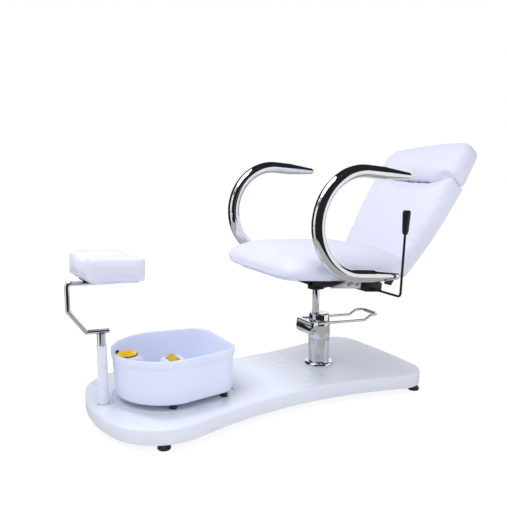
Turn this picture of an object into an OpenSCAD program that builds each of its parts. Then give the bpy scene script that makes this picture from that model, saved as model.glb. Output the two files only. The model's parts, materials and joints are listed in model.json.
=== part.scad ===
// Pedicure spa chair: a waisted floor platform that carries a hydraulic
// swivel seat, a lift-off foot basin and a swivelling footrest.
// Millimetres. X across the chair, the sitter faces -Y, Z up, floor at z = 0.
// The frame origin lies on the floor under the middle of the chair's box.

/* [Platform] */
// Distance from the frame origin back to the pump axis
pump_y = 190; // [150:1:230]
// Height of the platform's underside above the floor
foot_h = 24.5; // [18:0.5:40]
// Thickness of the platform
deck_t = 55; // [40:1:70]
// Radius of the rounded top edge of the platform
deck_edge_r = 9; // [3:1:14]
// Pump axis to the centres of the two nose corners, lengthwise
nose_corner_y = 733; // [700:1:760]
// Centre line to the centre of a nose corner
nose_corner_x = 112; // [100:1:125]
// Radius of a nose corner
nose_corner_r = 200; // [185:1:215]
// Radius of the front edge between the nose corners
nose_r = 587; // [520:1:700]
// Radius of the hollow waist sides
waist_r = 1395; // [1200:5:1600]
// Pump axis to the centres of the two heel corners, lengthwise
heel_corner_y = 236; // [215:1:260]
// Centre line to the centre of a heel corner
heel_corner_x = 192; // [180:1:205]
// Radius of a heel corner
heel_corner_r = 104; // [90:1:115]
// Radius of the rear edge between the heel corners
heel_end_r = 3170; // [2500:10:4000]
// Depth of the well in the platform that the basin stands in
well_depth = 3; // [2:0.5:6]
// Gap between the basin's base and the side of its well
well_gap = 12; // [8:1:18]
// Diameter of a levelling foot at the floor
foot_d = 44; // [36:1:48]
// Diameter of a levelling foot's threaded stud
foot_stud_d = 10; // [8:1:12]

/* [Pump] */
// Outer diameter of the pump cylinder
cyl_d = 86; // [78:1:94]
// Wall of the pump cylinder
cyl_wall = 3; // [2:0.5:5]
// Height of the head's underside above the platform
head_lift = 115; // [100:1:130]
// Height of the pump head, skirt and collar together
head_h = 101; // [90:1:110]
// Height of the head's skirt
skirt_h = 66; // [58:1:72]
// Diameter of the trim ring at the foot of the pump
trim_d = 118; // [114:1:128]
// Height of the trim ring
trim_h = 15; // [13:1:18]
// Diameter of the piston rod
rod_d = 28; // [24:0.5:32]
// Offset of the piston rod towards the front of the pump
rod_off = 18; // [14:1:20]
// Length of the piston rod
rod_len = 272; // [262:1:280]
// Height of the piston rod's top above the floor
rod_top = 446; // [442:1:450]
// Radial running clearance of turning and sliding fits
run_gap = 0.05; // [0.03:0.01:0.1]

/* [Foot pedal] */
// Distance of the pedal's pivot in front of the pump axis
pedal_pivot_y = 60; // [57:1:64]
// Height of the pedal's pivot above the head's underside
pedal_pivot_h = 41; // [38:1:44]
// Diameter of the pivot barrel
barrel_d = 40; // [36:1:42]
// Length of the pivot barrel
barrel_len = 98; // [96:1:104]
// Diameter of the pedal's pivot pin
pedal_pin_d = 10; // [8:1:12]
// Thickness of a cheek of the pedal yoke
cheek_t = 6; // [5:1:8]
// Diameter of the pedal's wire
pedal_wire_d = 11; // [9:1:12]
// Reach of the pedal behind the pump axis
pedal_reach = 262; // [240:1:280]
// Radius of the pedal's two rear corners
pedal_corner_r = 16; // [12:1:20]
// Rise of the pedal's tread bar over the arms
pedal_kick = 17; // [10:1:22]

/* [Seat mechanism] */
// Backward tilt of the seat on its hub
seat_tilt = 6; // [3:0.5:8]
// Height of the tilted mounting plate at the rod axis
plate_z = 413; // [410:1:416]
// Thickness of the mounting plate
plate_t = 5; // [4:0.5:6]
// Width of the mounting plate
plate_w = 120; // [116:2:124]
// Reach of the mounting plate ahead of the rod axis
plate_front = 32; // [30:1:40]
// Reach of the mounting plate behind the rod axis
plate_back = 150; // [146:1:160]
// Diameter of the hub's flange
hub_flange_d = 68; // [62:1:74]
// Diameter of the hub above the plate
hub_d = 50; // [44:1:56]
// Width of a frame rail
rail_w = 25; // [20:1:30]
// Height of a frame rail
rail_h = 40; // [36:1:44]
// Wall of the frame tubes
rail_wall = 2.5; // [2:0.5:3]
// Centre line to the middle of a rail
rail_x = 50; // [48:1:52]
// Thickness of the seat board
seat_board_t = 12; // [9:1:15]
// Distance of the recline pivot behind the rod axis, along the seat
pivot_y = 248; // [242:1:254]
// Height of the recline pivot over the plate's underside
pivot_z = 58.5; // [56:0.5:60]
// Diameter of the recline tube
pivot_d = 22; // [18:1:24]
// Length of the recline crank
crank_len = 41; // [36:1:44]
// Diameter of the recline lock rod
lock_rod_d = 10; // [8:1:12]
// Diameter of the release lever's rod
lever_d = 9; // [7:0.5:9]
// Centre line to the upright part of the release lever
lever_x = 346.5; // [345.5:0.5:350]
// Distance of the lever's axis behind the rod axis, along the seat
lever_y = 137; // [130:1:142]
// Length of the upright part of the release lever, grip included
lever_len = 320; // [280:5:360]
// Forward lean of the release lever from the seat's upright
lever_lean = 3; // [0:0.5:6]
// Length of the lever's grip
grip_len = 88; // [70:1:110]
// Diameter of the grip at its top
grip_d = 27; // [22:1:27]

/* [Seat cushions] */
// Half of the seat cushion's width
seat_half_w = 277; // [268:1:277]
// Distance of the seat's front edge ahead of the rod axis
seat_front = 297; // [270:1:305]
// Thickness of the seat cushion near its front
seat_front_t = 80; // [65:1:95]
// Thickness of the seat cushion near its rear
seat_rear_t = 104; // [90:1:115]
// Recline of the backrest from the seat's upright
back_angle = 30; // [27:1:34]
// Length of the backrest above the recline pivot
back_len = 650; // [600:1:680]
// Distance from the recline pivot up to the headrest seam
head_seam = 448; // [430:1:490]
// Half of the backrest's greatest width
back_half_w = 238; // [220:1:250]
// Radius of the bowed sides of the backrest
back_side_r = 1600; // [1300:10:2200]
// Thickness of the backrest cushion at its bottom
back_low_t = 68; // [62:1:72]
// Thickness of the backrest cushion at its top
back_high_t = 96; // [86:1:107]
// Thickness of the back board
back_board_t = 12; // [9:1:15]

/* [Armrests] */
// Centre line to the plane of an armrest
arm_x = 317; // [317:0.5:318]
// Diameter of the armrest tube
arm_d = 48; // [40:1:48]
// Radius of the armrest's half circle
arm_r = 186; // [170:1:200]
// Wall of the armrest tube
arm_wall = 2; // [1.5:0.5:3]
// Diameter of an armrest bolt
arm_bolt_d = 8; // [6:1:10]
// Diameter of the armrest's ends
arm_tip_d = 27; // [24:1:32]
// Straight length of tube behind the half circle
arm_straight = 76; // [60:1:90]
// Length over which the tube tapers
arm_taper = 112; // [95:1:125]
// Centre of the half circle ahead of the rod axis, along the seat
arm_front = 56; // [50:1:62]
// Height of the half circle's centre over the plate's underside
arm_z = 276; // [266:1:286]

/* [Footrest] */
// Distance of the footrest post ahead of the pump axis
post_y = 903; // [890:1:912]
// Outer diameter of the fixed post tube
post_tube_d = 35; // [32:1:38]
// Wall of the fixed post tube
post_tube_wall = 2.5; // [2:0.5:3]
// Height of the fixed tube's top above the floor
post_tube_top = 290; // [270:1:310]
// Height of the inner post's shoulder above the floor
post_top = 314; // [308:1:320]
// How far the footrest is drawn swivelled
rest_yaw = 5; // [-20:1:20]
// Diameter of the bent footrest arm
rest_bar_d = 16; // [14:0.5:18]
// Reach of the arm ahead of its post
rest_reach = 111; // [100:1:120]
// Height of the arm's upper bend above the floor
rest_arm_top = 517; // [500:1:530]
// Downward slope of the pad towards the sitter
pad_pitch = 4; // [0:0.5:8]
// Width of the footrest pad
pad_w = 228; // [200:2:260]
// Length of the footrest pad
pad_len = 190; // [150:2:200]
// Height of the footrest cushion
pad_h = 80; // [60:1:90]

/* [Foot basin] */
// Centre of the basin's toe arc ahead of the pump axis
toe_y = 672; // [660:1:684]
// Radius of the toe arc at the basin's base
toe_r = 186; // [178:1:192]
// Pump axis to the heel end of the basin's base
heel_end_y = 448; // [440:1:460]
// Half of the basin's width at its heel
heel_half_w = 165; // [155:1:175]
// Radius of the basin's heel corners
basin_corner_r = 92; // [70:1:100]
// Height of the basin from base to rim
basin_h = 160; // [140:1:175]
// Outward lean of the basin's side from base to rim
basin_flare = 9; // [4:1:14]
// Wall of the basin
basin_wall = 5; // [4:0.5:7]
// Height of the basin's rim band
rim_h = 28; // [20:1:36]
// Height of a basin foot
basin_foot_h = 20; // [14:1:22]
// Diameter of a massage roller
roller_d = 40; // [34:1:44]
// Length of a massage roller
roller_len = 56; // [46:1:62]
// Centre line to the middle of a massage roller
roller_x = 80; // [74:1:84]
// Distance of the rollers ahead of the pump axis
roller_y = 612; // [600:1:625]

/* [Hidden] */

deck_top = foot_h + deck_t;
head_z = deck_top + head_lift;
flange_t = 6;
pivot_head_z = head_z + pedal_pivot_h;
rail_top = plate_t + rail_h;
board_top = rail_top + seat_board_t;
rod_y = pump_y - rod_off;
white = [0.93, 0.93, 0.96];
chrome = [0.75, 0.77, 0.80];
steel = [0.55, 0.56, 0.58];
black = [0.09, 0.09, 0.10];
amber = [0.93, 0.62, 0.08];
touch = 0.3;

// ---------- general shapes ----------

// Points of an arc about [cx, cy] from angle a0 to a1 in n steps.
function arc(cx, cy, r, a0, a1, n) =
    [for (i = [0:n]) let (a = a0 + (a1 - a0) * i / n) [cx + r * cos(a), cy + r * sin(a)]];

// The right half of an outline with its mirror image, as one closed ring that holds no point twice.
function both_halves(right) = let (
    r = [for (i = [0:len(right) - 1]) if (i == 0 || norm(right[i] - right[max(i - 1, 0)]) > 0.01) right[i]])
    concat(r, [for (i = [len(r) - 1:-1:0]) if (abs(r[i][0]) > 0.01) [-r[i][0], r[i][1]]]);

// The same ring of plan points at height z.
function lift(ring, z) = [for (p = ring) [p[0], p[1], z]];

// A closed skin over equal rings, listed from the first cap to the last.
// A strip cap runs straight across between mirrored points of a symmetric ring.
module skin(rings, strips = false) {
    n = len(rings[0]);
    m = len(rings);
    pts = [for (r = rings) for (p = r) p];
    polyhedron(points = pts, convexity = 6, faces = concat(
        cap(0, n, strips),
        [for (j = [0:m - 2]) for (i = [0:n - 1]) for (t = side_pair(j * n, i, (i + 1) % n, n)) t],
        [for (f = cap((m - 1) * n, n, strips)) [for (k = [len(f) - 1:-1:0]) f[k]]]));
}

// The faces that close a ring of n points, as one polygon or as strips.
function cap(first, n, strips) = !strips ? [[for (i = [0:n - 1]) first + i]] :
    [for (i = [0:n / 2 - 1]) concat([first + i, first + i + 1],
        i < n / 2 - 1 ? [first + n - i - 1] : [], i > 0 ? [first + n - i] : [])];

// The two triangles between points i and k of one ring and the next, a ring holding n points.
function side_pair(first, i, k, n) =
    [[first + i, first + n + i, first + k], [first + k, first + n + i, first + n + k]];

// One ring of a rounded block: half sizes a and b, squareness p, centred on [cx, cy].
function soft_ring(a, b, p, n, cx = 0, cy = 0) =
    [for (i = [0:n - 1]) let (t = 360 * i / n, c = cos(t), s = sin(t))
        [cx + a * sign(c) * pow(abs(c), 2 / p), cy + b * sign(s) * pow(abs(s), 2 / p)]];

lap = 0.5;
bend_proud = 0.05;

// A round bar bent in its own XY plane, with a radius at every inner corner.
// A bend is a hair thicker than the straights, which end just inside it.
module bent_bar(path, d, r) {
    n = len(path);
    turn = [for (i = [0:n - 1]) (i == 0 || i == n - 1) ? 0 : corner(path[i - 1], path[i], path[i + 1])];
    cut = [for (i = [0:n - 1]) r * tan(abs(turn[i]) / 2)];
    for (i = [0:n - 2]) {
        v = path[i + 1] - path[i];
        near = max(cut[i] - lap, 0);
        far = norm(v) - max(cut[i + 1] - lap, 0);
        translate(concat(path[i] + v / norm(v) * near, 0))
            rotate([0, 90, atan2(v[1], v[0])])
            cylinder(d = d, h = far - near, $fn = 40);
    }
    for (i = [1:n - 2]) {
        v = path[i] - path[i - 1];
        a = atan2(v[1], v[0]);
        side = sign(turn[i]);
        start = path[i] - v / norm(v) * cut[i];
        centre = start + side * r * [-sin(a), cos(a)];
        translate(concat(centre, 0)) rotate([0, 0, side > 0 ? a - 90 : a + 90 + turn[i]])
            rotate_extrude(angle = abs(turn[i]), $fn = 64) translate([r, 0]) circle(d = d + 2 * bend_proud, $fn = 40);
    }
}

// Signed turn of a path at point b.
function corner(a, b, c) =
    let (u = b - a, v = c - b) atan2(u[0] * v[1] - u[1] * v[0], u[0] * v[0] + u[1] * v[1]);

// Turns a drawing in the XY plane so that its x runs along Y and its y along Z.
module side_on() rotate([90, 0, 90]) children();

// Shared frames of the moving groups.
module at_pump() translate([0, pump_y, 0]) children();
module at_rod() translate([0, rod_y, 0]) children();
module on_seat() at_rod() translate([0, 0, plate_z]) rotate([-seat_tilt, 0, 0]) children();
module on_back() on_seat() translate([0, pivot_y, pivot_z]) rotate([-back_angle, 0, 0]) children();
module at_post() translate([0, pump_y - post_y, 0]) rotate([0, 0, rest_yaw]) children();

// A countersunk or round-headed bolt along +Z, its head's seat at z = 0.
module bolt(d, len, head_d, head_t) {
    translate([0, 0, -len]) cylinder(d = d, h = len, $fn = 24);
    difference() {
        cylinder(d1 = head_d, d2 = head_d * 0.8, h = head_t, $fn = 32);
        translate([0, 0, head_t * 0.45]) cylinder(d = head_d * 0.42, h = head_t, $fn = 6);
    }
}

// ---------- platform ----------

nose_y = -nose_corner_y + sqrt(pow(nose_r - nose_corner_r, 2) - pow(nose_corner_x, 2));
heel_y = heel_corner_y - sqrt(pow(heel_end_r - heel_corner_r, 2) - pow(heel_corner_x, 2));

// Centre of the circle that touches both corner circles from outside, on the +X side.
waist_c = let (
    f = [nose_corner_x, -nose_corner_y],
    b = [heel_corner_x, heel_corner_y],
    rf = nose_corner_r + waist_r,
    rb = heel_corner_r + waist_r,
    d = norm(b - f),
    along = (rf * rf - rb * rb + d * d) / (2 * d),
    off = sqrt(rf * rf - along * along),
    e = (b - f) / d)
    f + along * e + off * [e[1], -e[0]];

// Plan outline of the platform, drawn in by the distance d, about the pump axis.
function deck_outline(d) = let (
    to_nose = atan2(-nose_corner_y - nose_y, nose_corner_x),
    to_waist_f = atan2(waist_c[1] + nose_corner_y, waist_c[0] - nose_corner_x),
    to_waist_b = atan2(waist_c[1] - heel_corner_y, waist_c[0] - heel_corner_x),
    to_heel = atan2(heel_corner_y - heel_y, heel_corner_x))
    both_halves(concat(
        arc(0, nose_y, nose_r - d, -90, to_nose, 6),
        arc(nose_corner_x, -nose_corner_y, nose_corner_r - d, to_nose, to_waist_f, 12),
        arc(waist_c[0], waist_c[1], waist_r + d, to_waist_f + 180, to_waist_b + 180, 10),
        arc(heel_corner_x, heel_corner_y, heel_corner_r - d, to_waist_b, to_heel, 10),
        arc(0, heel_y, heel_end_r - d, to_heel, 90, 3)));

foot_places = [for (x = [-1, 1]) for (p = [[272, -786], [262, 283]]) [x * p[0], p[1]]];
anchor_r = 50;
post_bolt_r = 29;
post_bolt_d = 6;
well_z = deck_top - well_depth;

module base_deck() color(white) at_pump() difference() {
    skin([
        lift(deck_outline(4), foot_h),
        lift(deck_outline(0), foot_h + 4),
        lift(deck_outline(0), deck_top - deck_edge_r),
        for (a = [30, 60, 90])
            lift(deck_outline(deck_edge_r * (1 - cos(a))), deck_top - deck_edge_r * (1 - sin(a)))], strips = true);
    translate([0, 0, well_z]) linear_extrude(well_depth + 1) polygon(basin_outline(well_gap));
    for (p = foot_places) translate([p[0], p[1], foot_h - 1]) cylinder(d = foot_stud_d, h = 26, $fn = 32);
    for (a = [45:90:315]) rotate([0, 0, a]) translate([anchor_r, 0, deck_top - 40])
        cylinder(d = 8, h = 41, $fn = 32);
    translate([0, -post_y, foot_h - 1]) {
        cylinder(d = post_tube_d + 2 * socket_gap, h = deck_t + 2, $fn = 64);
        translate([0, -post_tube_d / 2, 0]) cylinder(d = socket_notch_d, h = deck_t + 2, $fn = 32);
        for (a = [45:90:315]) rotate([0, 0, a]) translate([post_bolt_r, 0, 0])
            cylinder(d = post_bolt_d, h = 24, $fn = 24);
    }
}

module levelling_feet() color(black) at_pump() for (p = foot_places) translate([p[0], p[1], 0]) {
    rotate_extrude($fn = 64) polygon([[0, 0], [foot_d / 2 - 2, 0], [foot_d / 2, 2], [foot_d / 2, 9],
        [foot_d / 2 - 7, foot_h - 4], [foot_d / 2 - 7, foot_h], [0, foot_h]]);
    cylinder(d = foot_stud_d, h = foot_h + 24, $fn = 32);
}

// ---------- pump ----------

module pump_flange() color(steel) at_pump() difference() {
    translate([0, 0, deck_top]) cylinder(d = trim_d - 4, h = flange_t, $fn = 96);
    for (a = [45:90:315]) rotate([0, 0, a]) translate([anchor_r, 0, deck_top - 1])
        cylinder(d = 8, h = flange_t + 2, $fn = 32);
}

module pump_anchor_bolts() color(steel) at_pump() for (a = [45:90:315])
    rotate([0, 0, a]) translate([anchor_r, 0, deck_top + flange_t]) bolt(8, flange_t + 38, 12, 5);

module pump_trim_ring() color(chrome) at_pump() translate([0, 0, deck_top])
    rotate_extrude($fn = 96) polygon(concat(
        [[trim_d / 2 - 1.5, 0], [trim_d / 2, 0]],
        arc(trim_d / 2 - 12, 3, 12, 0, 90, 8),
        [[cyl_d / 2 + 0.2, trim_h], [cyl_d / 2 + 0.2, trim_h - 2], [trim_d / 2 - 5, trim_h - 2.5],
         [trim_d / 2 - 1.5, flange_t + 1]]));

module pump_cylinder() color(chrome) at_pump() translate([0, 0, deck_top + flange_t]) difference() {
    cylinder(d = cyl_d, h = head_lift - flange_t, $fn = 96);
    translate([0, 0, -1]) cylinder(d = cyl_d - 2 * cyl_wall, h = head_lift, $fn = 96);
}

barrel_bore_d = rod_d + 8;

module hydraulic_barrel() color(steel) at_rod() translate([0, 0, deck_top + flange_t]) difference() {
    cylinder(d = barrel_bore_d + 6, h = head_lift - flange_t, $fn = 64);
    translate([0, 0, 4]) cylinder(d = barrel_bore_d, h = head_lift, $fn = 64);
}

bush_d = rod_d + 8;
bush_len = 50;
web_drop = 3;

module pump_head() color(chrome) at_pump() difference() {
    union() {
        translate([0, 0, head_z]) rotate_extrude($fn = 96) polygon([[0, 0], [cyl_d / 2 + 1, 0],
            [cyl_d / 2 + 1.5, 1.5], [cyl_d / 2 + 1.5, skirt_h - 3], [cyl_d / 2 - 1, skirt_h],
            [cyl_d / 2 - 1, head_h - 4], [cyl_d / 2 - 5, head_h], [0, head_h]]);
        translate([-barrel_len / 2, -pedal_pivot_y, pivot_head_z]) rotate([0, 90, 0])
            cylinder(d = barrel_d, h = barrel_len, $fn = 64);
        translate([-barrel_len / 2 + 14, -pedal_pivot_y, pivot_head_z - barrel_d / 2])
            cube([barrel_len - 28, pedal_pivot_y - 10, barrel_d - web_drop]);
    }
    translate([0, -rod_off, head_z - 1]) cylinder(d = bush_d, h = head_h + 2, $fn = 64);
    translate([-barrel_len, -pedal_pivot_y, pivot_head_z]) rotate([0, 90, 0])
        cylinder(d = pedal_pin_d + 2 * run_gap, h = 2 * barrel_len, $fn = 40);
}

module rod_guide_bush() color([0.72, 0.56, 0.30]) at_rod() translate([0, 0, head_z + head_h - bush_len]) difference() {
    cylinder(d = bush_d, h = bush_len, $fn = 64);
    translate([0, 0, -1]) cylinder(d = rod_d + 2 * run_gap, h = bush_len + 2, $fn = 64);
}

module pedal_pivot_pin() color(steel) at_pump()
    translate([-barrel_len / 2 - cheek_t - 3, -pedal_pivot_y, pivot_head_z]) rotate([0, 90, 0])
    cylinder(d = pedal_pin_d, h = barrel_len + 2 * cheek_t + 6, $fn = 40);

// ---------- foot pedal ----------

cheek_x = barrel_len / 2 + touch;
pedal_arm_x = cheek_x + cheek_t / 2;
yoke_low = pivot_head_z + barrel_d / 2 + 1.5;
yoke_t = 14;
yoke_front = pedal_pivot_y + 12;
yoke_depth = 16;
yoke_run = 12 + barrel_d / 2 - 2;

module pedal_yoke() color(chrome) at_pump() difference() {
    union() {
        for (s = [-1, 1]) translate([s * pedal_arm_x - cheek_t / 2, 0, 0]) side_on() linear_extrude(cheek_t)
            hull() {
                translate([-pedal_pivot_y, pivot_head_z]) circle(d = barrel_d - 6, $fn = 48);
                translate([-yoke_front, yoke_low]) square([yoke_run, yoke_t]);
            }
        translate([-pedal_arm_x - cheek_t / 2, -yoke_front, yoke_low])
            cube([2 * pedal_arm_x + cheek_t, yoke_depth, yoke_t]);
    }
    translate([-barrel_len, -pedal_pivot_y, pivot_head_z]) rotate([0, 90, 0])
        cylinder(d = pedal_pin_d, h = 2 * barrel_len, $fn = 40);
}

wire_z = yoke_low + yoke_t / 2;
pedal_start = [yoke_run - yoke_front, wire_z];
pedal_low = [pedal_reach - 68, wire_z - 14];
pedal_rise = [pedal_reach - 34, pedal_low[1] + pedal_kick];
tread_run = 24;
tread_start = pedal_reach - tread_run;

module foot_pedal_loop() color(chrome) at_pump() {
    for (s = [-1, 1]) translate([s * pedal_arm_x, 0, 0]) side_on()
        bent_bar([pedal_start, pedal_start + [14, 0], pedal_low, pedal_rise, [tread_start, pedal_rise[1]]], pedal_wire_d, 20);
    translate([0, tread_start, pedal_rise[1]]) bent_bar([[-pedal_arm_x, 0], [-pedal_arm_x, tread_run],
        [pedal_arm_x, tread_run], [pedal_arm_x, 0]], pedal_wire_d, pedal_corner_r);
}

sleeve_half = pedal_arm_x - pedal_corner_r - 1;

module pedal_tread_sleeve() color(chrome) at_pump()
    translate([0, pedal_reach, pedal_rise[1]]) rotate([0, 90, 0]) difference() {
        union() {
            translate([0, 0, -sleeve_half]) cylinder(d = pedal_wire_d + 3, h = 2 * sleeve_half, $fn = 40);
            for (i = [-3:3]) translate([0, 0, i * sleeve_half / 3.6 - 1.5]) cylinder(d = pedal_wire_d + 5, h = 3, $fn = 40);
        }
        translate([0, 0, -sleeve_half - 1]) cylinder(d = pedal_wire_d, h = 2 * sleeve_half + 2, $fn = 40);
    }

// ---------- lift ----------

rod_bottom = rod_top - rod_len;

module piston_rod() color(chrome) at_rod() {
    translate([0, 0, rod_bottom]) cylinder(d = rod_d, h = rod_len - 2, $fn = 64);
    translate([0, 0, rod_top - 2]) cylinder(d1 = rod_d, d2 = rod_d - 4, h = 2, $fn = 64);
}

module piston_seal() color(black) at_rod() translate([0, 0, rod_bottom]) difference() {
    cylinder(d = barrel_bore_d - 2 * run_gap, h = 8, $fn = 64);
    translate([0, 0, -1]) cylinder(d = rod_d, h = 10, $fn = 64);
}

// ---------- seat mechanism ----------

hub_low = plate_z - 15;
hub_len = 53;

module swivel_hub() color(black) at_rod() difference() {
    union() {
        translate([0, 0, hub_low]) cylinder(d = hub_d, h = hub_len, $fn = 64);
        difference() {
            translate([0, 0, hub_low]) cylinder(d = hub_flange_d, h = 30, $fn = 64);
            translate([0, 0, plate_z]) rotate([-seat_tilt, 0, 0]) translate([-100, -100, 0]) cube(200);
        }
    }
    translate([0, 0, hub_low - 1]) cylinder(d = rod_d + 2 * run_gap, h = rod_top - hub_low + 2, $fn = 64);
}

plate_bolt_y = [10, plate_back - 20];
plate_bolt_d = 8;

module seat_mount_plate() color(black) on_seat() difference() {
    linear_extrude(plate_t) difference() {
        translate([-plate_w / 2, -plate_front]) square([plate_w, plate_front + plate_back]);
        for (s = [-1, 1]) translate([s * plate_w / 2, -plate_front]) rotate(45) square(38, center = true);
    }
    rotate([seat_tilt, 0, 0]) translate([0, 0, -20]) cylinder(d = hub_d, h = 60, $fn = 64);
    for (s = [-1, 1]) for (y = plate_bolt_y) translate([s * rail_x, y, -1])
        cylinder(d = plate_bolt_d, h = plate_t + 2, $fn = 24);
}

crank_t = 8;
rod_x = 81;
lock_z = 17.9;
rail_front = 60;
rail_back = 205;
out_w = 60;
out_t = 8;
end_t = 6;
end_h = 25;
end_y = [-76, -8];
tab_x = arm_x - arm_d / 2 - 2;
tab_t = 7;
tab_low = 38;
arm_low_z = arm_z - arm_r;
arm_bolt_y = [-arm_front - 14, 36 - arm_front];
mount_bolt_y = [end_y[0] + 16, end_y[1] - 16];
mount_bolt_z = tab_low + 14;
mount_bolt_d = 6;
cross_half = 112;

// A hollow rectangular tube of width w along X, height h along Z, running along Y.
module rail(w, len, h) rotate([-90, 0, 0]) translate([0, -h, 0]) linear_extrude(len) difference() {
    translate([-w / 2, 0]) square([w, h]);
    translate([rail_wall - w / 2, rail_wall]) square([w - 2 * rail_wall, h - 2 * rail_wall]);
}

module seat_frame() color(black) on_seat() difference() {
    union() {
        for (s = [-1, 1]) translate([s * rail_x, -rail_front, plate_t])
            rail(rail_w, rail_front + rail_back - rail_w, rail_h);
        translate([-cross_half, rail_back - rail_w / 2, plate_t]) rotate([0, 0, -90])
            rail(rail_w, 2 * cross_half, rail_h);
        translate([rail_w / 2 - rail_x, -rail_front + rail_w / 2, plate_t]) rotate([0, 0, -90])
            rail(rail_w, 2 * rail_x - rail_w, rail_h);
        for (s = [0, 1]) mirror([s, 0, 0]) {
            translate([rail_x + rail_w / 2, -rail_front, rail_top - out_t])
                cube([tab_x - tab_t - rail_x - rail_w / 2, out_w, out_t]);
            translate([tab_x - tab_t - end_t, end_y[0], rail_top - out_t])
                cube([end_t, end_y[1] - end_y[0], end_h]);
        }
    }
    for (s = [-1, 1]) for (y = plate_bolt_y) translate([s * rail_x, y, plate_t - 1])
        cylinder(d = plate_bolt_d, h = rail_wall + 1, $fn = 24);
    translate([rod_x, rail_back - rail_w - 1, lock_z]) rotate([-90, 0, 0])
        cylinder(d = lock_rod_d + 5, h = rail_w + 2, $fn = 40);
    for (y = mount_bolt_y) translate([-tab_x, y, mount_bolt_z]) rotate([0, 90, 0])
        cylinder(d = mount_bolt_d, h = 2 * tab_x, $fn = 24);
}

// Upright plate that joins an armrest to the end of the frame's arm.
module armrest_mount(s) color(steel) on_seat() difference() {
    translate([s * (tab_x - tab_t / 2) - tab_t / 2, 0, 0]) side_on() linear_extrude(tab_t)
        polygon([[end_y[0] - 66, tab_low], [end_y[1], tab_low], [end_y[1], arm_low_z + 14],
            [end_y[0] - 8, arm_low_z + 14], [end_y[0] - 8, tab_low + 20]]);
    for (y = mount_bolt_y) translate([s * tab_x, y, mount_bolt_z]) rotate([0, 90, 0])
        cylinder(d = mount_bolt_d, h = 4 * tab_t, center = true, $fn = 24);
    for (y = arm_bolt_y) translate([s * tab_x, y, arm_low_z]) rotate([0, 90, 0])
        cylinder(d = arm_bolt_d, h = 4 * tab_t, center = true, $fn = 32);
}

module armrest_mount_left() armrest_mount(1);
module armrest_mount_right() armrest_mount(-1);

module frame_bolts() color(steel) on_seat() for (s = [-1, 1]) for (y = plate_bolt_y)
    translate([s * rail_x, y, 0]) rotate([180, 0, 0]) bolt(plate_bolt_d, plate_t + rail_wall + 4, 14, 5);

board_side_in = 95;
board_front_in = 33;

module seat_board() color([0.72, 0.60, 0.42]) on_seat() translate([0, 0, rail_top]) linear_extrude(seat_board_t)
    polygon(board_outline(seat_half_w - board_side_in, board_front_in - seat_front, rail_back - 2, 40));

// A plan outline of half width w from y0 to y1 with corner radius r.
function board_outline(w, y0, y1, r) = both_halves(concat(
    arc(w - r, y0 + r, r, -90, 0, 6), arc(w - r, y1 - r, r, 0, 90, 6)));

seat_rear = pivot_y - 31;
seat_n = 40;

// Plan ring of the seat cushion at a height: drawn in by e, its rear at y = back.
function seat_ring(e, front, back, z0, z1) = let (
    b = (back + front) / 2,
    m = (back - front) / 2)
    [for (q = soft_ring(seat_half_w - e, m, 7.5, seat_n, 0, b))
        [q[0], q[1], z0 + (z1 - z0) * (q[1] - front) / (back - front)]];

module seat_cushion() color(white) on_seat() skin([
    seat_ring(board_side_in - 12, 24 - seat_front, seat_rear - 10, board_top, board_top),
    seat_ring(40, 11 - seat_front, seat_rear - 3, board_top + 3, board_top + 3),
    seat_ring(12, 3 - seat_front, seat_rear + 2, board_top + 12, board_top + 12),
    seat_ring(0, -seat_front, seat_rear + 8, board_top + 28, board_top + 32),
    seat_ring(2, 6 - seat_front, seat_rear + 15, board_top + 46, board_top + 58),
    seat_ring(9, 22 - seat_front, seat_rear + 22, board_top + 62, board_top + 80),
    seat_ring(24, 46 - seat_front, seat_rear + 16, board_top + seat_front_t - 6, board_top + seat_rear_t - 9),
    seat_ring(48, 80 - seat_front, seat_rear - 4, board_top + seat_front_t + 6, board_top + seat_rear_t + 1),
    seat_ring(90, 130 - seat_front, seat_rear - 40, board_top + seat_front_t + 18, board_top + seat_rear_t + 9),
    seat_ring(150, 190 - seat_front, seat_rear - 90, board_top + seat_front_t + 26, board_top + seat_rear_t + 15)]);

// ---------- armrests ----------

sleeve_d = 20;
sleeve_len = 38;
bolt_in = 32;
vent_d = 5;

// The bowed tube of an armrest, of one diameter round the bow and a smaller one at its ends.
module bowed_tube(d, tip) {
    rotate([0, 0, 90]) rotate_extrude(angle = 180, $fn = 96) translate([arm_r, 0]) circle(d = d, $fn = 64);
    for (z = [-1, 1]) translate([0, z * arm_r, 0]) rotate([0, 90, 0]) {
        cylinder(d = d, h = arm_straight, $fn = 64);
        translate([0, 0, arm_straight]) cylinder(d1 = d, d2 = tip, h = arm_taper, $fn = 64);
        translate([0, 0, arm_straight + arm_taper]) sphere(d = tip, $fn = 48);
    }
}

module armrest(s) color(chrome) on_seat() difference() {
    union() {
        translate([s * arm_x, -arm_front, arm_z]) side_on() difference() {
            bowed_tube(arm_d, arm_tip_d);
            bowed_tube(arm_d - 2 * arm_wall, arm_tip_d - 2 * arm_wall);
        }
        for (y = arm_bolt_y) translate([s * tab_x, y, arm_low_z]) rotate([0, s * 90, 0])
            cylinder(d = sleeve_d, h = sleeve_len, $fn = 40);
    }
    for (y = arm_bolt_y) translate([s * (tab_x - 1), y, arm_low_z]) rotate([0, s * 90, 0])
        cylinder(d = arm_bolt_d, h = bolt_in + 2, $fn = 32);
    translate([s * arm_x, (arm_bolt_y[0] + arm_bolt_y[1]) / 2, arm_low_z]) rotate([0, -s * 90, 0])
        cylinder(d = vent_d, h = arm_d, $fn = 24);
}

module armrest_left() armrest(1);
module armrest_right() armrest(-1);

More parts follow.
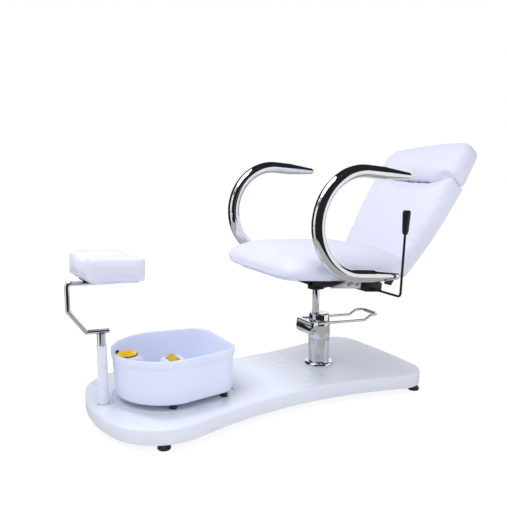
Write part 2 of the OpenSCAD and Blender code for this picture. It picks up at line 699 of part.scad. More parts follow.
module armrest_bolts() color(steel) on_seat() for (s = [-1, 1]) {
    for (y = arm_bolt_y) translate([s * (tab_x - tab_t), y, arm_low_z]) rotate([0, -s * 90, 0])
        bolt(arm_bolt_d, tab_t + bolt_in, 13, 4.5);
    for (y = mount_bolt_y) translate([s * tab_x, y, mount_bolt_z]) rotate([0, s * 90, 0])
        bolt(mount_bolt_d, tab_t + end_t, 12, 4);
}

// ---------- recline ----------

bracket_x = 98;
bracket_t = 10;
ear_r = 16;

module hinge_bracket(s) color(black) on_seat() difference() {
    translate([s > 0 ? bracket_x : -bracket_x - bracket_t, 0, 0]) side_on() linear_extrude(bracket_t) union() {
        hull() {
            translate([pivot_y, pivot_z]) circle(r = ear_r, $fn = 64);
            translate([rail_back + 10, plate_t + 6]) square([12, 28]);
        }
        translate([rail_back, plate_t + 4]) square([14, rail_h - 8]);
    }
    translate([-200, pivot_y, pivot_z]) rotate([0, 90, 0]) cylinder(d = pivot_d + 2 * run_gap, h = 400, $fn = 64);
}

module hinge_bracket_left() hinge_bracket(1);
module hinge_bracket_right() hinge_bracket(-1);

tube_half = 124;

module recline_tube() color(steel) on_seat() translate([-tube_half, pivot_y, pivot_z]) rotate([0, 90, 0]) difference() {
    cylinder(d = pivot_d, h = 2 * tube_half, $fn = 64);
    translate([0, 0, -1]) cylinder(d = pivot_d - 6, h = 2 * tube_half + 2, $fn = 64);
}

// In the back's frame y runs forward to back and z up along the back.
back_rear = 50;
back_bottom = 19;
back_board_in = 30;
arm_web_x = 114;
strap_t = 6;
strap_w = 40;
strap_len = 190;

module back_arm(s) color(black) on_back() difference() {
    union() {
        translate([s > 0 ? arm_web_x : -arm_web_x - strap_t, 0, 0]) side_on() linear_extrude(strap_t) hull() {
            circle(r = ear_r, $fn = 64);
            translate([back_rear, -14]) square([strap_t, 30]);
        }
        translate([s > 0 ? arm_web_x - strap_w + strap_t : -arm_web_x - strap_t, back_rear, -14])
            cube([strap_w, strap_t, strap_len]);
    }
    translate([-250, 0, 0]) rotate([0, 90, 0]) cylinder(d = pivot_d, h = 500, $fn = 64);
    for (z = strap_bolts) translate([s * strap_bolt_x, back_rear - 1, z]) rotate([-90, 0, 0])
        cylinder(d = 6, h = strap_t + 2, $fn = 24);
}

strap_bolts = [60, 150];
strap_bolt_x = arm_web_x - strap_w / 2 + strap_t;

module back_arm_left() back_arm(1);
module back_arm_right() back_arm(-1);

crank_x = 68;
crank_pin_d = 8;
crank_back = 7.5;

module recline_crank() color(black) on_seat() translate([0, pivot_y, pivot_z]) rotate([crank_back, 0, 0]) {
    difference() {
        translate([crank_x, 0, 0]) side_on() linear_extrude(crank_t) hull() {
            circle(r = ear_r, $fn = 64);
            translate([0, -crank_len]) circle(r = 9, $fn = 40);
        }
        rotate([0, 90, 0]) cylinder(d = pivot_d, h = 400, $fn = 64);
    }
    translate([crank_x - 1, 0, -crank_len]) rotate([0, 90, 0]) cylinder(d = crank_pin_d, h = crank_t + 16, $fn = 32);
}

function back_half(u) = back_half_w - back_side_r + sqrt(pow(back_side_r, 2) - pow(u - 400, 2));

// Outline of the back in its own plane, drawn in by e, from u0 up to u1.
function back_outline(e, u0, u1, r0, r1) = both_halves(concat(
    arc(back_half(u0 + r0) - e - r0, u0 + r0, r0, -90, 0, 5),
    [for (i = [1:5]) let (u = u0 + r0 + (u1 - r1 - u0 - r0) * i / 6) [back_half(u) - e, u]],
    arc(back_half(u1 - r1) - e - r1, u1 - r1, r1, 0, 90, 7)));

module back_board() color(white) on_back() difference() {
    translate([0, back_rear, 0]) rotate([90, 0, 0]) linear_extrude(back_board_t)
        polygon(back_outline(back_board_in, back_bottom + back_board_in, back_len - 12 - back_board_in, 34, 80));
    for (s = [-1, 1]) for (z = strap_bolts) translate([s * strap_bolt_x, 0, z]) rotate([-90, 0, 0])
        cylinder(d = 6, h = back_rear + 2, $fn = 24);
}

module back_board_bolts() color(steel) on_back() for (s = [-1, 1]) for (z = strap_bolts)
    translate([s * strap_bolt_x, back_rear + strap_t, z]) rotate([-90, 0, 0]) bolt(6, strap_t + back_board_t - 2, 11, 3.5);

// Ring of a back cushion at a distance t from the board, front face growing with u.
function pad_ring(e, u0, u1, r0, r1, t0, t1) =
    [for (q = back_outline(e, u0, u1, r0, r1))
        [q[0], back_rear - back_board_t - (t0 + (t1 - t0) * (q[1] - back_bottom) / (back_len - back_bottom)), q[1]]];

// A back cushion from u0 up to u1: its front leans back towards the top by nose.
module cushion_between(u0, u1, r0, r1, crown, nose) skin([
    pad_ring(6, u0 + 6, u1 - 8, r0, r1, 0, 0),
    pad_ring(0, u0, u1 - nose / 20, r0, r1, 8, 8),
    pad_ring(0, u0, u1, r0, r1, back_low_t - 26, back_high_t - 50),
    pad_ring(1, u0, u1 - nose / 5, r0, r1, back_low_t - 20, back_high_t - 30),
    pad_ring(6, u0 + 5, u1 - 5 - nose * 0.45, r0, r1, back_low_t - 8, back_high_t - 11),
    pad_ring(18, u0 + 16, u1 - 16 - nose * 0.8, r0, r1, back_low_t, back_high_t),
    pad_ring(50, u0 + 36, u1 - 36 - nose, r0 * 0.7, r1 * 0.7, back_low_t + crown * 0.6, back_high_t + crown * 0.6),
    pad_ring(100, u0 + 62, u1 - 62 - nose, r0 * 0.4, r1 * 0.4, back_low_t + crown, back_high_t + crown)]);

module backrest_cushion() color(white) on_back() cushion_between(back_bottom, head_seam - touch, 34, 8, 14, 0);
module headrest_cushion() color(white) on_back() cushion_between(head_seam + touch, back_len, 8, 48, 12, 34);

// ---------- recline lock and lever ----------

housing_x = rail_x + rail_w / 2;
housing_y = 96;
housing_w = 128;
housing_low = 6;
housing_top = 41;
housing_len = rail_back - rail_w - housing_y;
eye_r = 10;
eye_t = 8;
eye_y = pivot_y + crank_len * sin(crank_back);
lever_z = 17;
shaft_in = 32;

module lock_housing() color(black) on_seat() difference() {
    translate([housing_x, housing_y, housing_low])
        side_cut(housing_w, housing_len, housing_top - housing_low, 6);
    translate([rod_x, housing_y - 1, lock_z]) rotate([-90, 0, 0])
        cylinder(d = lock_rod_d + 2 * run_gap, h = housing_len + 2, $fn = 40);
    translate([housing_x + housing_w - shaft_in, lever_y, lever_z]) rotate([0, 90, 0])
        cylinder(d = lever_d + 2 * run_gap, h = shaft_in + 1, $fn = 40);
}

// A block of size w, l, h whose lower long edges are cut at 45 degrees.
module side_cut(w, l, h, c) side_on() linear_extrude(w)
    polygon([[c, 0], [l - c, 0], [l, c], [l, h], [0, h], [0, c]]);

module lock_rod() color(chrome) on_seat() difference() {
    union() {
        translate([rod_x, 40, lock_z]) rotate([-90, 0, 0]) cylinder(d = lock_rod_d, h = eye_y - 40 - 6, $fn = 40);
        translate([rod_x - eye_t / 2, eye_y, lock_z]) rotate([0, 90, 0]) cylinder(r = eye_r, h = eye_t, $fn = 40);
    }
    translate([rod_x - eye_t, eye_y, lock_z]) rotate([0, 90, 0]) cylinder(d = crank_pin_d + 3.6, h = 2 * eye_t, $fn = 40);
}

// Frame of the lever: its turning axis along x, leaning forward of the seat's upright.
module on_lever() on_seat() translate([0, lever_y, lever_z]) rotate([lever_lean, 0, 0]) children();

module release_lever() color(black) on_lever() rotate([90, 0, 0])
    bent_bar([[housing_x + housing_w - shaft_in + 1, 0], [lever_x, 0], [lever_x, lever_len - 6]], lever_d, 14);

module release_grip() color(black) on_lever() translate([lever_x, 0, lever_len - grip_len]) difference() {
    rotate_extrude($fn = 64) polygon([[0, 0], [8, 0], [10.5, 12], [grip_d / 2 - 1, grip_len - 30],
        [grip_d / 2, grip_len - 8], [grip_d / 2 - 3, grip_len], [0, grip_len]]);
    translate([0, 0, -1]) cylinder(d = lever_d, h = grip_len - 5, $fn = 40);
}

// ---------- footrest ----------

post_d = post_tube_d - 2 * post_tube_wall - 2 * run_gap;
socket_flange_t = 4;
socket_gap = 1.5;
socket_notch_d = 12;

// Socket of the footrest post: a flanged tube let in from under the platform.
module post_flange() color(steel) at_pump() translate([0, -post_y, foot_h - socket_flange_t]) difference() {
    cylinder(d = 76, h = socket_flange_t, $fn = 64);
    for (a = [45:90:315]) rotate([0, 0, a]) translate([post_bolt_r, 0, -1])
        cylinder(d = post_bolt_d, h = socket_flange_t + 2, $fn = 24);
}

module post_flange_bolts() color(steel) at_pump() translate([0, -post_y, foot_h - socket_flange_t])
    for (a = [45:90:315]) rotate([0, 0, a]) translate([post_bolt_r, 0, 0]) rotate([180, 0, 0])
        bolt(post_bolt_d, socket_flange_t + 22, 9, 3.5);

module post_tube() color(white) at_pump() translate([0, -post_y, foot_h]) difference() {
    cylinder(d = post_tube_d, h = post_tube_top - foot_h, $fn = 64);
    translate([0, 0, -1]) cylinder(d = post_tube_d - 2 * post_tube_wall, h = post_tube_top, $fn = 64);
}

spigot_d = 18;
spigot_h = 13;
post_in = 140;

module footrest_post() color(chrome) at_pump() translate([0, -post_y, 0]) {
    translate([0, 0, post_top - post_in]) cylinder(d = post_d, h = post_in, $fn = 64);
    translate([0, 0, post_top]) cylinder(d = spigot_d, h = spigot_h, $fn = 48);
}

// Centre line of the arm, as distance back from the post and height above the floor.
socket_h = 19;
arm_tail = [24, post_top + 23];
arm_low_bend = [-51, post_top + 29];
arm_side_bend = [-rest_reach, post_top + 110];
rest_run = 165;
plate_low = rest_bar_d / 2;
pad_plate_t = 4;
pad_board_t = 6;
pad_board_in = 14;
pad_board_z = plate_low + pad_plate_t;
cushion_z = pad_board_z + pad_board_t;
pad_y = 41;

// Frame of the pad: y runs back along the upper bar from its bend, z = 0 on its axis.
module on_pad() at_post() translate([0, -rest_reach, rest_arm_top]) rotate([-pad_pitch, 0, 0]) children();

module footrest_arm() color(chrome) at_post() difference() {
    union() {
        side_on() bent_bar([arm_tail, arm_low_bend, arm_side_bend, [-rest_reach, rest_arm_top],
            [rest_run * cos(pad_pitch) - rest_reach, rest_arm_top - rest_run * sin(pad_pitch)]], rest_bar_d, 11);
        translate([0, 0, post_top]) cylinder(d = post_d, h = socket_h, $fn = 64);
    }
    translate([0, 0, post_top - 1]) cylinder(d = spigot_d + 2 * run_gap, h = spigot_h + 2, $fn = 48);
}

pad_screw_y = [pad_y + 30, pad_y + 110];
pad_screw_x = 30;

module pad_plate() color(black) on_pad() difference() {
    translate([-42, pad_y + 14, plate_low]) cube([84, 112, pad_plate_t]);
    for (x = [-1, 1]) for (y = pad_screw_y) translate([x * pad_screw_x, y, 0])
        cylinder(d = 5, h = 30, $fn = 24);
}

module pad_plate_screws() color(steel) on_pad() for (x = [-1, 1]) for (y = pad_screw_y)
    translate([x * pad_screw_x, y, plate_low]) rotate([180, 0, 0]) bolt(5, pad_plate_t + pad_board_t - 1, 9, 3);

module pad_board() color(black) on_pad() difference() {
    translate([0, 0, pad_board_z]) linear_extrude(pad_board_t)
        polygon(board_outline(pad_w / 2 - pad_board_in, pad_y + pad_board_in, pad_y + pad_len - pad_board_in, 12));
    for (x = [-1, 1]) for (y = pad_screw_y) translate([x * pad_screw_x, y, 0])
        cylinder(d = 5, h = 30, $fn = 24);
}

// Half cross-section of the pad: side, raised lobe and the hollow for the calves.
lobe_x = pad_w * 0.33;
hollow_depth = 16;

// Cross-section of the footrest cushion at y, drawn in by e all round.
function pad_section(e, y) = let (
    top = [for (i = [0:16]) let (x = (pad_w / 2 - 14 - e) * (1 - i / 8), k = min(1, abs(x) / lobe_x))
        [x, cushion_z + pad_h - e - hollow_depth * (1 + cos(180 * k)) / 2]],
    r = 14)
    [for (p = concat(
        arc(pad_w / 2 - e - r, cushion_z + pad_h - e - r, r, 0, 75, 4), top,
        arc(r + e - pad_w / 2, cushion_z + pad_h - e - r, r, 105, 180, 4),
        arc(5 + e - pad_w / 2, cushion_z + 5 + e / 4, 5, 180, 270, 2),
        arc(pad_w / 2 - e - 5, cushion_z + 5 + e / 4, 5, 270, 360, 2))) [p[0], y, p[1]]];

module footrest_pad() color(white) on_pad() skin([
    pad_section(12, pad_y + pad_len), pad_section(4, pad_y + pad_len - 3),
    pad_section(0, pad_y + pad_len - 12), pad_section(0, pad_y + 12),
    pad_section(4, pad_y + 3), pad_section(12, pad_y)]);

// ---------- foot basin ----------

basin_z = well_z + basin_foot_h;
heel_c = [heel_half_w - basin_corner_r, -heel_end_y - basin_corner_r];
to_heel_c = heel_c + [0, toe_y];
side_turn = atan2(to_heel_c[1], to_heel_c[0]) - acos((toe_r - basin_corner_r) / norm(to_heel_c));

// Plan outline of the basin's base, let out by d, about the pump axis.
function basin_outline(d) = both_halves(concat(
    arc(0, -toe_y, toe_r + d, -90, side_turn, 12),
    arc(heel_c[0], heel_c[1], basin_corner_r + d, side_turn, 90, 7)));

function tub_ring(d, h) = lift(basin_outline(d), basin_z + h);

module basin_tub() color(white) at_pump() skin([
    tub_ring(-10, 0), tub_ring(-3, 2.5), tub_ring(0, 9),
    tub_ring(basin_flare * 0.8, basin_h - rim_h), tub_ring(basin_flare * 0.8 + 3, basin_h - rim_h + 3),
    tub_ring(basin_flare + 3, basin_h - 5), tub_ring(basin_flare + 1.5, basin_h - 1),
    tub_ring(basin_flare - 1, basin_h), tub_ring(basin_flare - 4, basin_h - 1.5),
    tub_ring(basin_flare - basin_wall - 1, basin_h - 6),
    tub_ring(-basin_wall, 18), tub_ring(-basin_wall - 3, 10), tub_ring(-basin_wall - 12, basin_wall + 1)]);

basin_feet_at = [for (x = [-1, 1]) for (p = [[150, -705], [132, -502]]) [x * p[0], p[1]]];

module basin_feet() color(black) at_pump() for (p = basin_feet_at) translate([p[0], p[1], well_z])
    rotate_extrude($fn = 48) polygon([[0, 0], [13, 0], [14, 1.5], [12, basin_foot_h - 4], [12, basin_foot_h], [0, basin_foot_h]]);

floor_z = basin_z + basin_wall + 1;
pod_top = basin_z + basin_h - 16;
pod_wall = 4;
pod_back = toe_r - 19;
lens_y = 816;
lens_a = 31;
lens_b = 35;
knob_at = [-37, -838];

// Plan of the pod in the toe of the basin: radius r at its back, half width w, open side at y = -q.
function pod_outline(r, w, q) = let (a = asin(w / r))
    concat(arc(0, -toe_y, r, -90 - a, -90 + a, 16), [[w, -q], [-w, -q]]);

module control_pod() color(white) at_pump() difference() {
    skin([
        lift(pod_outline(pod_back, 54, 770), floor_z),
        lift(pod_outline(toe_r - 2, 52, 772), pod_top - 4),
        lift(pod_outline(toe_r - 3, 49, 775), pod_top)]);
    translate([knob_at[0], knob_at[1], pod_top - 12]) cylinder(d = 5 + 2 * run_gap, h = 14, $fn = 32);
    translate([0, -lens_y, pod_top - 5]) linear_extrude(6) polygon(soft_ring(lens_a - 4, lens_b - 4, 2, 40));
    translate([0, 0, floor_z - 1]) linear_extrude(pod_top - floor_z - 17)
        polygon(pod_outline(pod_back - pod_wall, 52 - pod_wall, 772 + pod_wall));
}

module lamp_bezel() color(black) at_pump() translate([0, -lens_y, pod_top]) linear_extrude(3) difference() {
    polygon(soft_ring(lens_a + 3, lens_b + 3, 2, 40));
    polygon(soft_ring(lens_a, lens_b, 2, 40));
}

function lens_ring(k, z) = lift(soft_ring(lens_a * k, lens_b * k, 2, 32, 0, -lens_y), pod_top + z);

module lamp_lens() color(amber) at_pump()
    skin([lens_ring(0.995, 0), lens_ring(0.995, 3), lens_ring(0.9, 8), lens_ring(0.7, 12), lens_ring(0.35, 14.5)]);

module control_knob() color(black) at_pump() translate([knob_at[0], knob_at[1], pod_top]) {
    translate([0, 0, -11]) cylinder(d = 5, h = 12, $fn = 32);
    translate([0, 0, 0.4]) difference() {
        cylinder(d1 = 13, d2 = 11, h = 9, $fn = 48);
        translate([0, 3, 8]) cube([1.2, 6.5, 3], center = true);
    }
}

hump_top = floor_z + 71;
axle_z = hump_top - 7;
axle_d = 6;

// Plan ring of a massage hump at height z with half sizes a and b.
function hump_ring(s, a, b, z) = lift(soft_ring(a, b, 4, 28, s * roller_x, -roller_y), z);

module massage_bed() color(white) at_pump() difference() {
    for (s = [-1, 1]) skin([hump_ring(s, 56, 78, floor_z), hump_ring(s, 54, 76, floor_z + 6),
        hump_ring(s, 48, 58, floor_z + 30), hump_ring(s, 43, 42, hump_top - 5), hump_ring(s, 39, 38, hump_top)]);
    for (s = [-1, 1]) translate([s * roller_x - roller_len / 2 - 1.5, -roller_y, axle_z]) rotate([0, 90, 0]) {
        cylinder(d = roller_d + 4, h = roller_len + 3, $fn = 64);
        translate([0, 0, -8]) cylinder(d = axle_d, h = roller_len + 19, $fn = 32);
    }
}

module roller_axles() color(steel) at_pump() for (s = [-1, 1])
    translate([s * roller_x - roller_len / 2 - 9.5, -roller_y, axle_z]) rotate([0, 90, 0])
    cylinder(d = axle_d, h = roller_len + 19, $fn = 32);

// Outline of a roller from end to end, with rounded ribs between grooves.
function rib_profile(n) = [for (i = [0:8 * n]) let (t = i / (8 * n))
    [roller_d / 2 - 3 * pow(abs(cos(180 * n * t)), 6) - 4 * pow(abs(2 * t - 1), 4), t * roller_len]];

module massage_roller(s) color(amber) at_pump()
    translate([s * roller_x - roller_len / 2, -roller_y, axle_z]) rotate([0, 90, 0])
    rotate_extrude($fn = 48) polygon(concat([[axle_d / 2 + run_gap, 0]], rib_profile(5),
        [[axle_d / 2 + run_gap, roller_len]]));

module massage_roller_left() massage_roller(1);
module massage_roller_right() massage_roller(-1);

base_deck();
levelling_feet();
pump_flange();
pump_anchor_bolts();
pump_trim_ring();
pump_cylinder();
hydraulic_barrel();
pump_head();
rod_guide_bush();
pedal_pivot_pin();
pedal_yoke();
foot_pedal_loop();
pedal_tread_sleeve();
piston_rod();
piston_seal();
swivel_hub();
seat_mount_plate();
seat_frame();
frame_bolts();
seat_board();
seat_cushion();
armrest_mount_left();
armrest_mount_right();
armrest_left();
armrest_right();
armrest_bolts();
hinge_bracket_left();
hinge_bracket_right();
recline_tube();
back_arm_left();
back_arm_right();
recline_crank();
back_board();
back_board_bolts();
backrest_cushion();
headrest_cushion();
lock_housing();
lock_rod();
release_lever();
release_grip();
post_flange();
post_tube();
post_flange_bolts();
footrest_post();
footrest_arm();
pad_plate();
pad_plate_screws();
pad_board();
footrest_pad();
basin_tub();
basin_feet();
control_pod();
lamp_bezel();
lamp_lens();
control_knob();
massage_bed();
roller_axles();
massage_roller_left();
massage_roller_right();
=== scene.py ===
import json
import math

import bpy
import numpy as np
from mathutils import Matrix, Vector

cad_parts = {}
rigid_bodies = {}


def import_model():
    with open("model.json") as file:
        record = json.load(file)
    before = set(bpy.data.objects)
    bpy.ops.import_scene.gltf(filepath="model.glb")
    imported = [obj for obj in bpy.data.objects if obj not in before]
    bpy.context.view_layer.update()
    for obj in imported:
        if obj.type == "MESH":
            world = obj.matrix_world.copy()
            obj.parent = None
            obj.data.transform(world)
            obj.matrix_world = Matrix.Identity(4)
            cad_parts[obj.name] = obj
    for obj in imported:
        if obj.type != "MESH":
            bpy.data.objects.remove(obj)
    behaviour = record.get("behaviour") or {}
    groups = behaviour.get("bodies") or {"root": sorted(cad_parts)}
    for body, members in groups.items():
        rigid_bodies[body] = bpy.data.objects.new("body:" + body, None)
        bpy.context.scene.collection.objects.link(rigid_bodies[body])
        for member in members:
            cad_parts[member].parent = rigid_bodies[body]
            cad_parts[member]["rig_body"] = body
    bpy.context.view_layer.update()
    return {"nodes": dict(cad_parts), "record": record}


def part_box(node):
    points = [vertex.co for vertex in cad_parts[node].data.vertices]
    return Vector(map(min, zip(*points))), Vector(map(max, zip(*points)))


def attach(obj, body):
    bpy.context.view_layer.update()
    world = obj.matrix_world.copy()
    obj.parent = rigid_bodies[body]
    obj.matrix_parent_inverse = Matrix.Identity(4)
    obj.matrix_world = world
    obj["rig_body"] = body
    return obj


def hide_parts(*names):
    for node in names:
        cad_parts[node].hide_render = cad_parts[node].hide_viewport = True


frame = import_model()

bl_info = {
    "name": "Pedicure spa chair",
    "version": (1, 0, 0),
    "blender": (4, 5, 0),
    "location": "View3D > Sidebar > Spa chair",
    "description": "Upholstery, platform, foot basin and finishes on the chair's construction frame",
    "category": "Add Mesh",
}

PUMP_Y = 0.190
SEAT_ORIGIN = (0.172, 0.413)
SEAT_TILT = 6.0
HINGE = (0.248, 0.0585)
BACK_TILT = 36.0
DECK_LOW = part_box("base_deck")[0].z
DECK_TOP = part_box("base_deck")[1].z
WELL_Z = DECK_TOP - 0.003
BASIN_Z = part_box("basin_tub")[0].z
SLOTS = {s["node"]: s["material_slot"] for s in frame["record"]["subparts"]}


# ---------- sizes and colours ----------

class ChairSizes(bpy.types.PropertyGroup):
    deck_edge: bpy.props.FloatProperty(
        name="Platform edge", description="Radius of the platform's upper edge",
        default=0.009, min=0.003, max=0.014, unit="LENGTH")
    well_lip: bpy.props.FloatProperty(
        name="Well lip", description="Width of the softened lip round the basin's recess",
        default=0.0012, min=0.0004, max=0.003, unit="LENGTH")
    seat_fill: bpy.props.FloatProperty(
        name="Seat fill", description="Most that the seat cover bulges over its foam",
        default=0.009, min=0.0, max=0.02, unit="LENGTH")
    back_fill: bpy.props.FloatProperty(
        name="Back fill", description="Most that the back covers bulge over their foam",
        default=0.008, min=0.0, max=0.02, unit="LENGTH")
    pad_fill: bpy.props.FloatProperty(
        name="Footrest fill", description="Most that the footrest cover bulges over its foam",
        default=0.003, min=0.0, max=0.01, unit="LENGTH")
    seam_width: bpy.props.FloatProperty(
        name="Seam width", description="Half width of a sewn seam's valley",
        default=0.007, min=0.002, max=0.010, unit="LENGTH")
    seam_depth: bpy.props.FloatProperty(
        name="Seam depth", description="Depth of a sewn seam's valley",
        default=0.0020, min=0.0005, max=0.005, unit="LENGTH")
    stitch_length: bpy.props.FloatProperty(
        name="Stitch length", description="Length of one stitch",
        default=0.0042, min=0.002, max=0.008, unit="LENGTH")
    rim_roll: bpy.props.FloatProperty(
        name="Grip depth", description="Depth of the finger grip under the basin's rim",
        default=0.005, min=0.0, max=0.008, unit="LENGTH")
    nub_rise: bpy.props.FloatProperty(
        name="Roller nub", description="Height of a nub on the massage rollers",
        default=0.0036, min=0.002, max=0.005, unit="LENGTH")


class ChairColours(bpy.types.PropertyGroup):
    upholstery: bpy.props.FloatVectorProperty(
        name="Upholstery", description="Coated fabric of the cushions", subtype="COLOR",
        default=(0.72, 0.735, 0.86), min=0.0, max=1.0)
    lacquer: bpy.props.FloatVectorProperty(
        name="Platform", description="Lacquer of the platform", subtype="COLOR",
        default=(0.77, 0.80, 0.90), min=0.0, max=1.0)
    basin: bpy.props.FloatVectorProperty(
        name="Basin", description="Moulded plastic of the foot basin", subtype="COLOR",
        default=(0.77, 0.81, 0.97), min=0.0, max=1.0)
    amber: bpy.props.FloatVectorProperty(
        name="Amber", description="Clear plastic of the lens and rollers", subtype="COLOR",
        default=(0.82, 0.54, 0.02), min=0.0, max=1.0)
    enamel: bpy.props.FloatVectorProperty(
        name="Black parts", description="Enamel of the seat's mechanism", subtype="COLOR",
        default=(0.006, 0.006, 0.007), min=0.0, max=1.0)


def sizes():
    return bpy.context.scene.spa_chair_sizes


def colours():
    return bpy.context.scene.spa_chair_colours


# ---------- places ----------

def turned(y, z, degrees):
    a = math.radians(degrees)
    return y * math.cos(a) + z * math.sin(a), z * math.cos(a) - y * math.sin(a)


def from_seat(x, y, z):
    """A point given in the seat's own frame, y to the rear and z square to the seat board."""
    dy, dz = turned(y, z, SEAT_TILT)
    return Vector((x, SEAT_ORIGIN[0] + dy, SEAT_ORIGIN[1] + dz))


def from_back(x, n, u):
    """A point given in the back's own frame, n to the rear and u up along the back."""
    hinge = from_seat(0.0, *HINGE)
    dy, dz = turned(n, u, BACK_TILT)
    return Vector((x, hinge.y + dy, hinge.z + dz))


def to_back(co):
    """Back-frame coordinates of many points."""
    hinge = from_seat(0.0, *HINGE)
    a = math.radians(BACK_TILT)
    dy, dz = co[:, 1] - hinge.y, co[:, 2] - hinge.z
    return np.stack([co[:, 0], dy * math.cos(a) - dz * math.sin(a),
                     dy * math.sin(a) + dz * math.cos(a)], axis=1)


def back_to_world(local):
    """The places of many points given in back-frame coordinates."""
    hinge = from_seat(0.0, *HINGE)
    a = math.radians(BACK_TILT)
    n, u = local[:, 1], local[:, 2]
    return np.stack([local[:, 0], hinge.y + n * math.cos(a) + u * math.sin(a),
                     hinge.z + u * math.cos(a) - n * math.sin(a)], axis=1)


def arc(cx, cy, r, a0, a1, n):
    return [(cx + r * math.cos(math.radians(a0 + (a1 - a0) * i / n)),
             cy + r * math.sin(math.radians(a0 + (a1 - a0) * i / n))) for i in range(n + 1)]


def mirrored(right):
    """The right half of an outline with its mirror image, as one closed ring."""
    ring = [p for i, p in enumerate(right) if i == 0 or math.dist(p, right[i - 1]) > 1e-6]
    return ring + [(-x, y) for x, y in reversed(ring) if abs(x) > 1e-6]


def deck_plan(inset):
    """Plan outline of the platform, drawn in by the inset."""
    corner, heel = (0.112, -0.733), (0.192, 0.236)
    corner_r, nose_r, waist_r, heel_r, end_r = 0.200, 0.587, 1.395, 0.104, 3.170
    nose_y = corner[1] + math.sqrt((nose_r - corner_r) ** 2 - corner[0] ** 2)
    end_y = heel[1] - math.sqrt((end_r - heel_r) ** 2 - heel[0] ** 2)
    rf, rb = corner_r + waist_r, heel_r + waist_r
    d = math.dist(corner, heel)
    along = (rf * rf - rb * rb + d * d) / (2 * d)
    off = math.sqrt(rf * rf - along * along)
    e = ((heel[0] - corner[0]) / d, (heel[1] - corner[1]) / d)
    waist = (corner[0] + along * e[0] + off * e[1], corner[1] + along * e[1] - off * e[0])
    nose_a = math.degrees(math.atan2(corner[1] - nose_y, corner[0]))
    fore_a = math.degrees(math.atan2(waist[1] - corner[1], waist[0] - corner[0]))
    aft_a = math.degrees(math.atan2(waist[1] - heel[1], waist[0] - heel[0]))
    end_a = math.degrees(math.atan2(heel[1] - end_y, heel[0]))
    plan = mirrored(
        arc(0, nose_y, nose_r - inset, -90, nose_a, 12)
        + arc(corner[0], corner[1], corner_r - inset, nose_a, fore_a, 28)
        + arc(waist[0], waist[1], waist_r + inset, fore_a + 180, aft_a + 180, 22)
        + arc(heel[0], heel[1], heel_r - inset, aft_a, end_a, 22)
        + arc(0, end_y, end_r - inset, end_a, 90, 6))
    return [(x, y + PUMP_Y) for x, y in plan]


TOE = (0.0, -0.670)
TOE_R = 0.184
HEEL_R = 0.070
HEEL_C = (0.162 - HEEL_R, -0.458 - HEEL_R)


def basin_plan(out):
    """Plan outline of the basin's base, let out by a distance."""
    dx, dy = HEEL_C[0] - TOE[0], HEEL_C[1] - TOE[1]
    side = math.degrees(math.atan2(dy, dx)) - math.degrees(math.acos((TOE_R - HEEL_R) / math.hypot(dx, dy)))
    toe = arc(TOE[0], TOE[1], TOE_R + out, -90, side - 11.0, 40)
    heel = arc(HEEL_C[0], HEEL_C[1], HEEL_R + out, side, 90, 22)
    first, last = np.array(toe[-1]), np.array(heel[0])
    flank = [tuple(first + (last - first) * i / 10) for i in range(1, 10)]
    end = [(heel[-1][0] * (1 - i / 6), heel[-1][1]) for i in range(1, 7)]
    return [(x, y + PUMP_Y) for x, y in mirrored(toe + flank + heel + end)]


# ---------- modelling helpers ----------

def nothing_selected():
    if bpy.context.object and bpy.context.object.mode != "OBJECT":
        bpy.ops.object.mode_set(mode="OBJECT")
    bpy.ops.object.select_all(action="DESELECT")


def only(obj):
    """Makes obj the one selected and active object."""
    nothing_selected()
    obj.select_set(True)
    bpy.context.view_layer.objects.active = obj


def applied(obj, kind, **settings):
    """Adds a modifier, sets it and applies it at once."""
    only(obj)
    mod = obj.modifiers.new(kind.title(), kind)
    for key, value in settings.items():
        setattr(mod, key, value)
    bpy.ops.object.modifier_apply(modifier=mod.name)


def points_of(obj):
    co = np.empty(len(obj.data.vertices) * 3)
    obj.data.vertices.foreach_get("co", co)
    return co.reshape(-1, 3)


def normals_of(obj):
    no = np.empty(len(obj.data.vertices) * 3)
    obj.data.vertices.foreach_get("normal", no)
    return no.reshape(-1, 3)


def set_points(obj, co):
    obj.data.vertices.foreach_set("co", np.ascontiguousarray(co).ravel())
    obj.data.update()


def edit_all(obj):
    only(obj)
    bpy.ops.object.mode_set(mode="EDIT")
    bpy.ops.mesh.select_all(action="SELECT")


def smoothed(obj, angle=None):
    """Shades the piece smooth all over, or only where its faces meet at less than the angle."""
    only(obj)
    if angle is None:
        bpy.ops.object.shade_smooth()
    else:
        bpy.ops.object.shade_smooth_by_angle(angle=math.radians(angle))


def tidy(obj, angle=32.0):
    """Faces outwards, one flat-to-smooth shading rule and no doubles."""
    edit_all(obj)
    bpy.ops.mesh.remove_doubles(threshold=1e-6)
    bpy.ops.mesh.normals_make_consistent(inside=False)
    bpy.ops.object.mode_set(mode="OBJECT")
    smoothed(obj, angle)


def placed(obj):
    """Moves the object's place into its mesh."""
    only(obj)
    bpy.ops.object.transform_apply(location=True, rotation=True, scale=True)


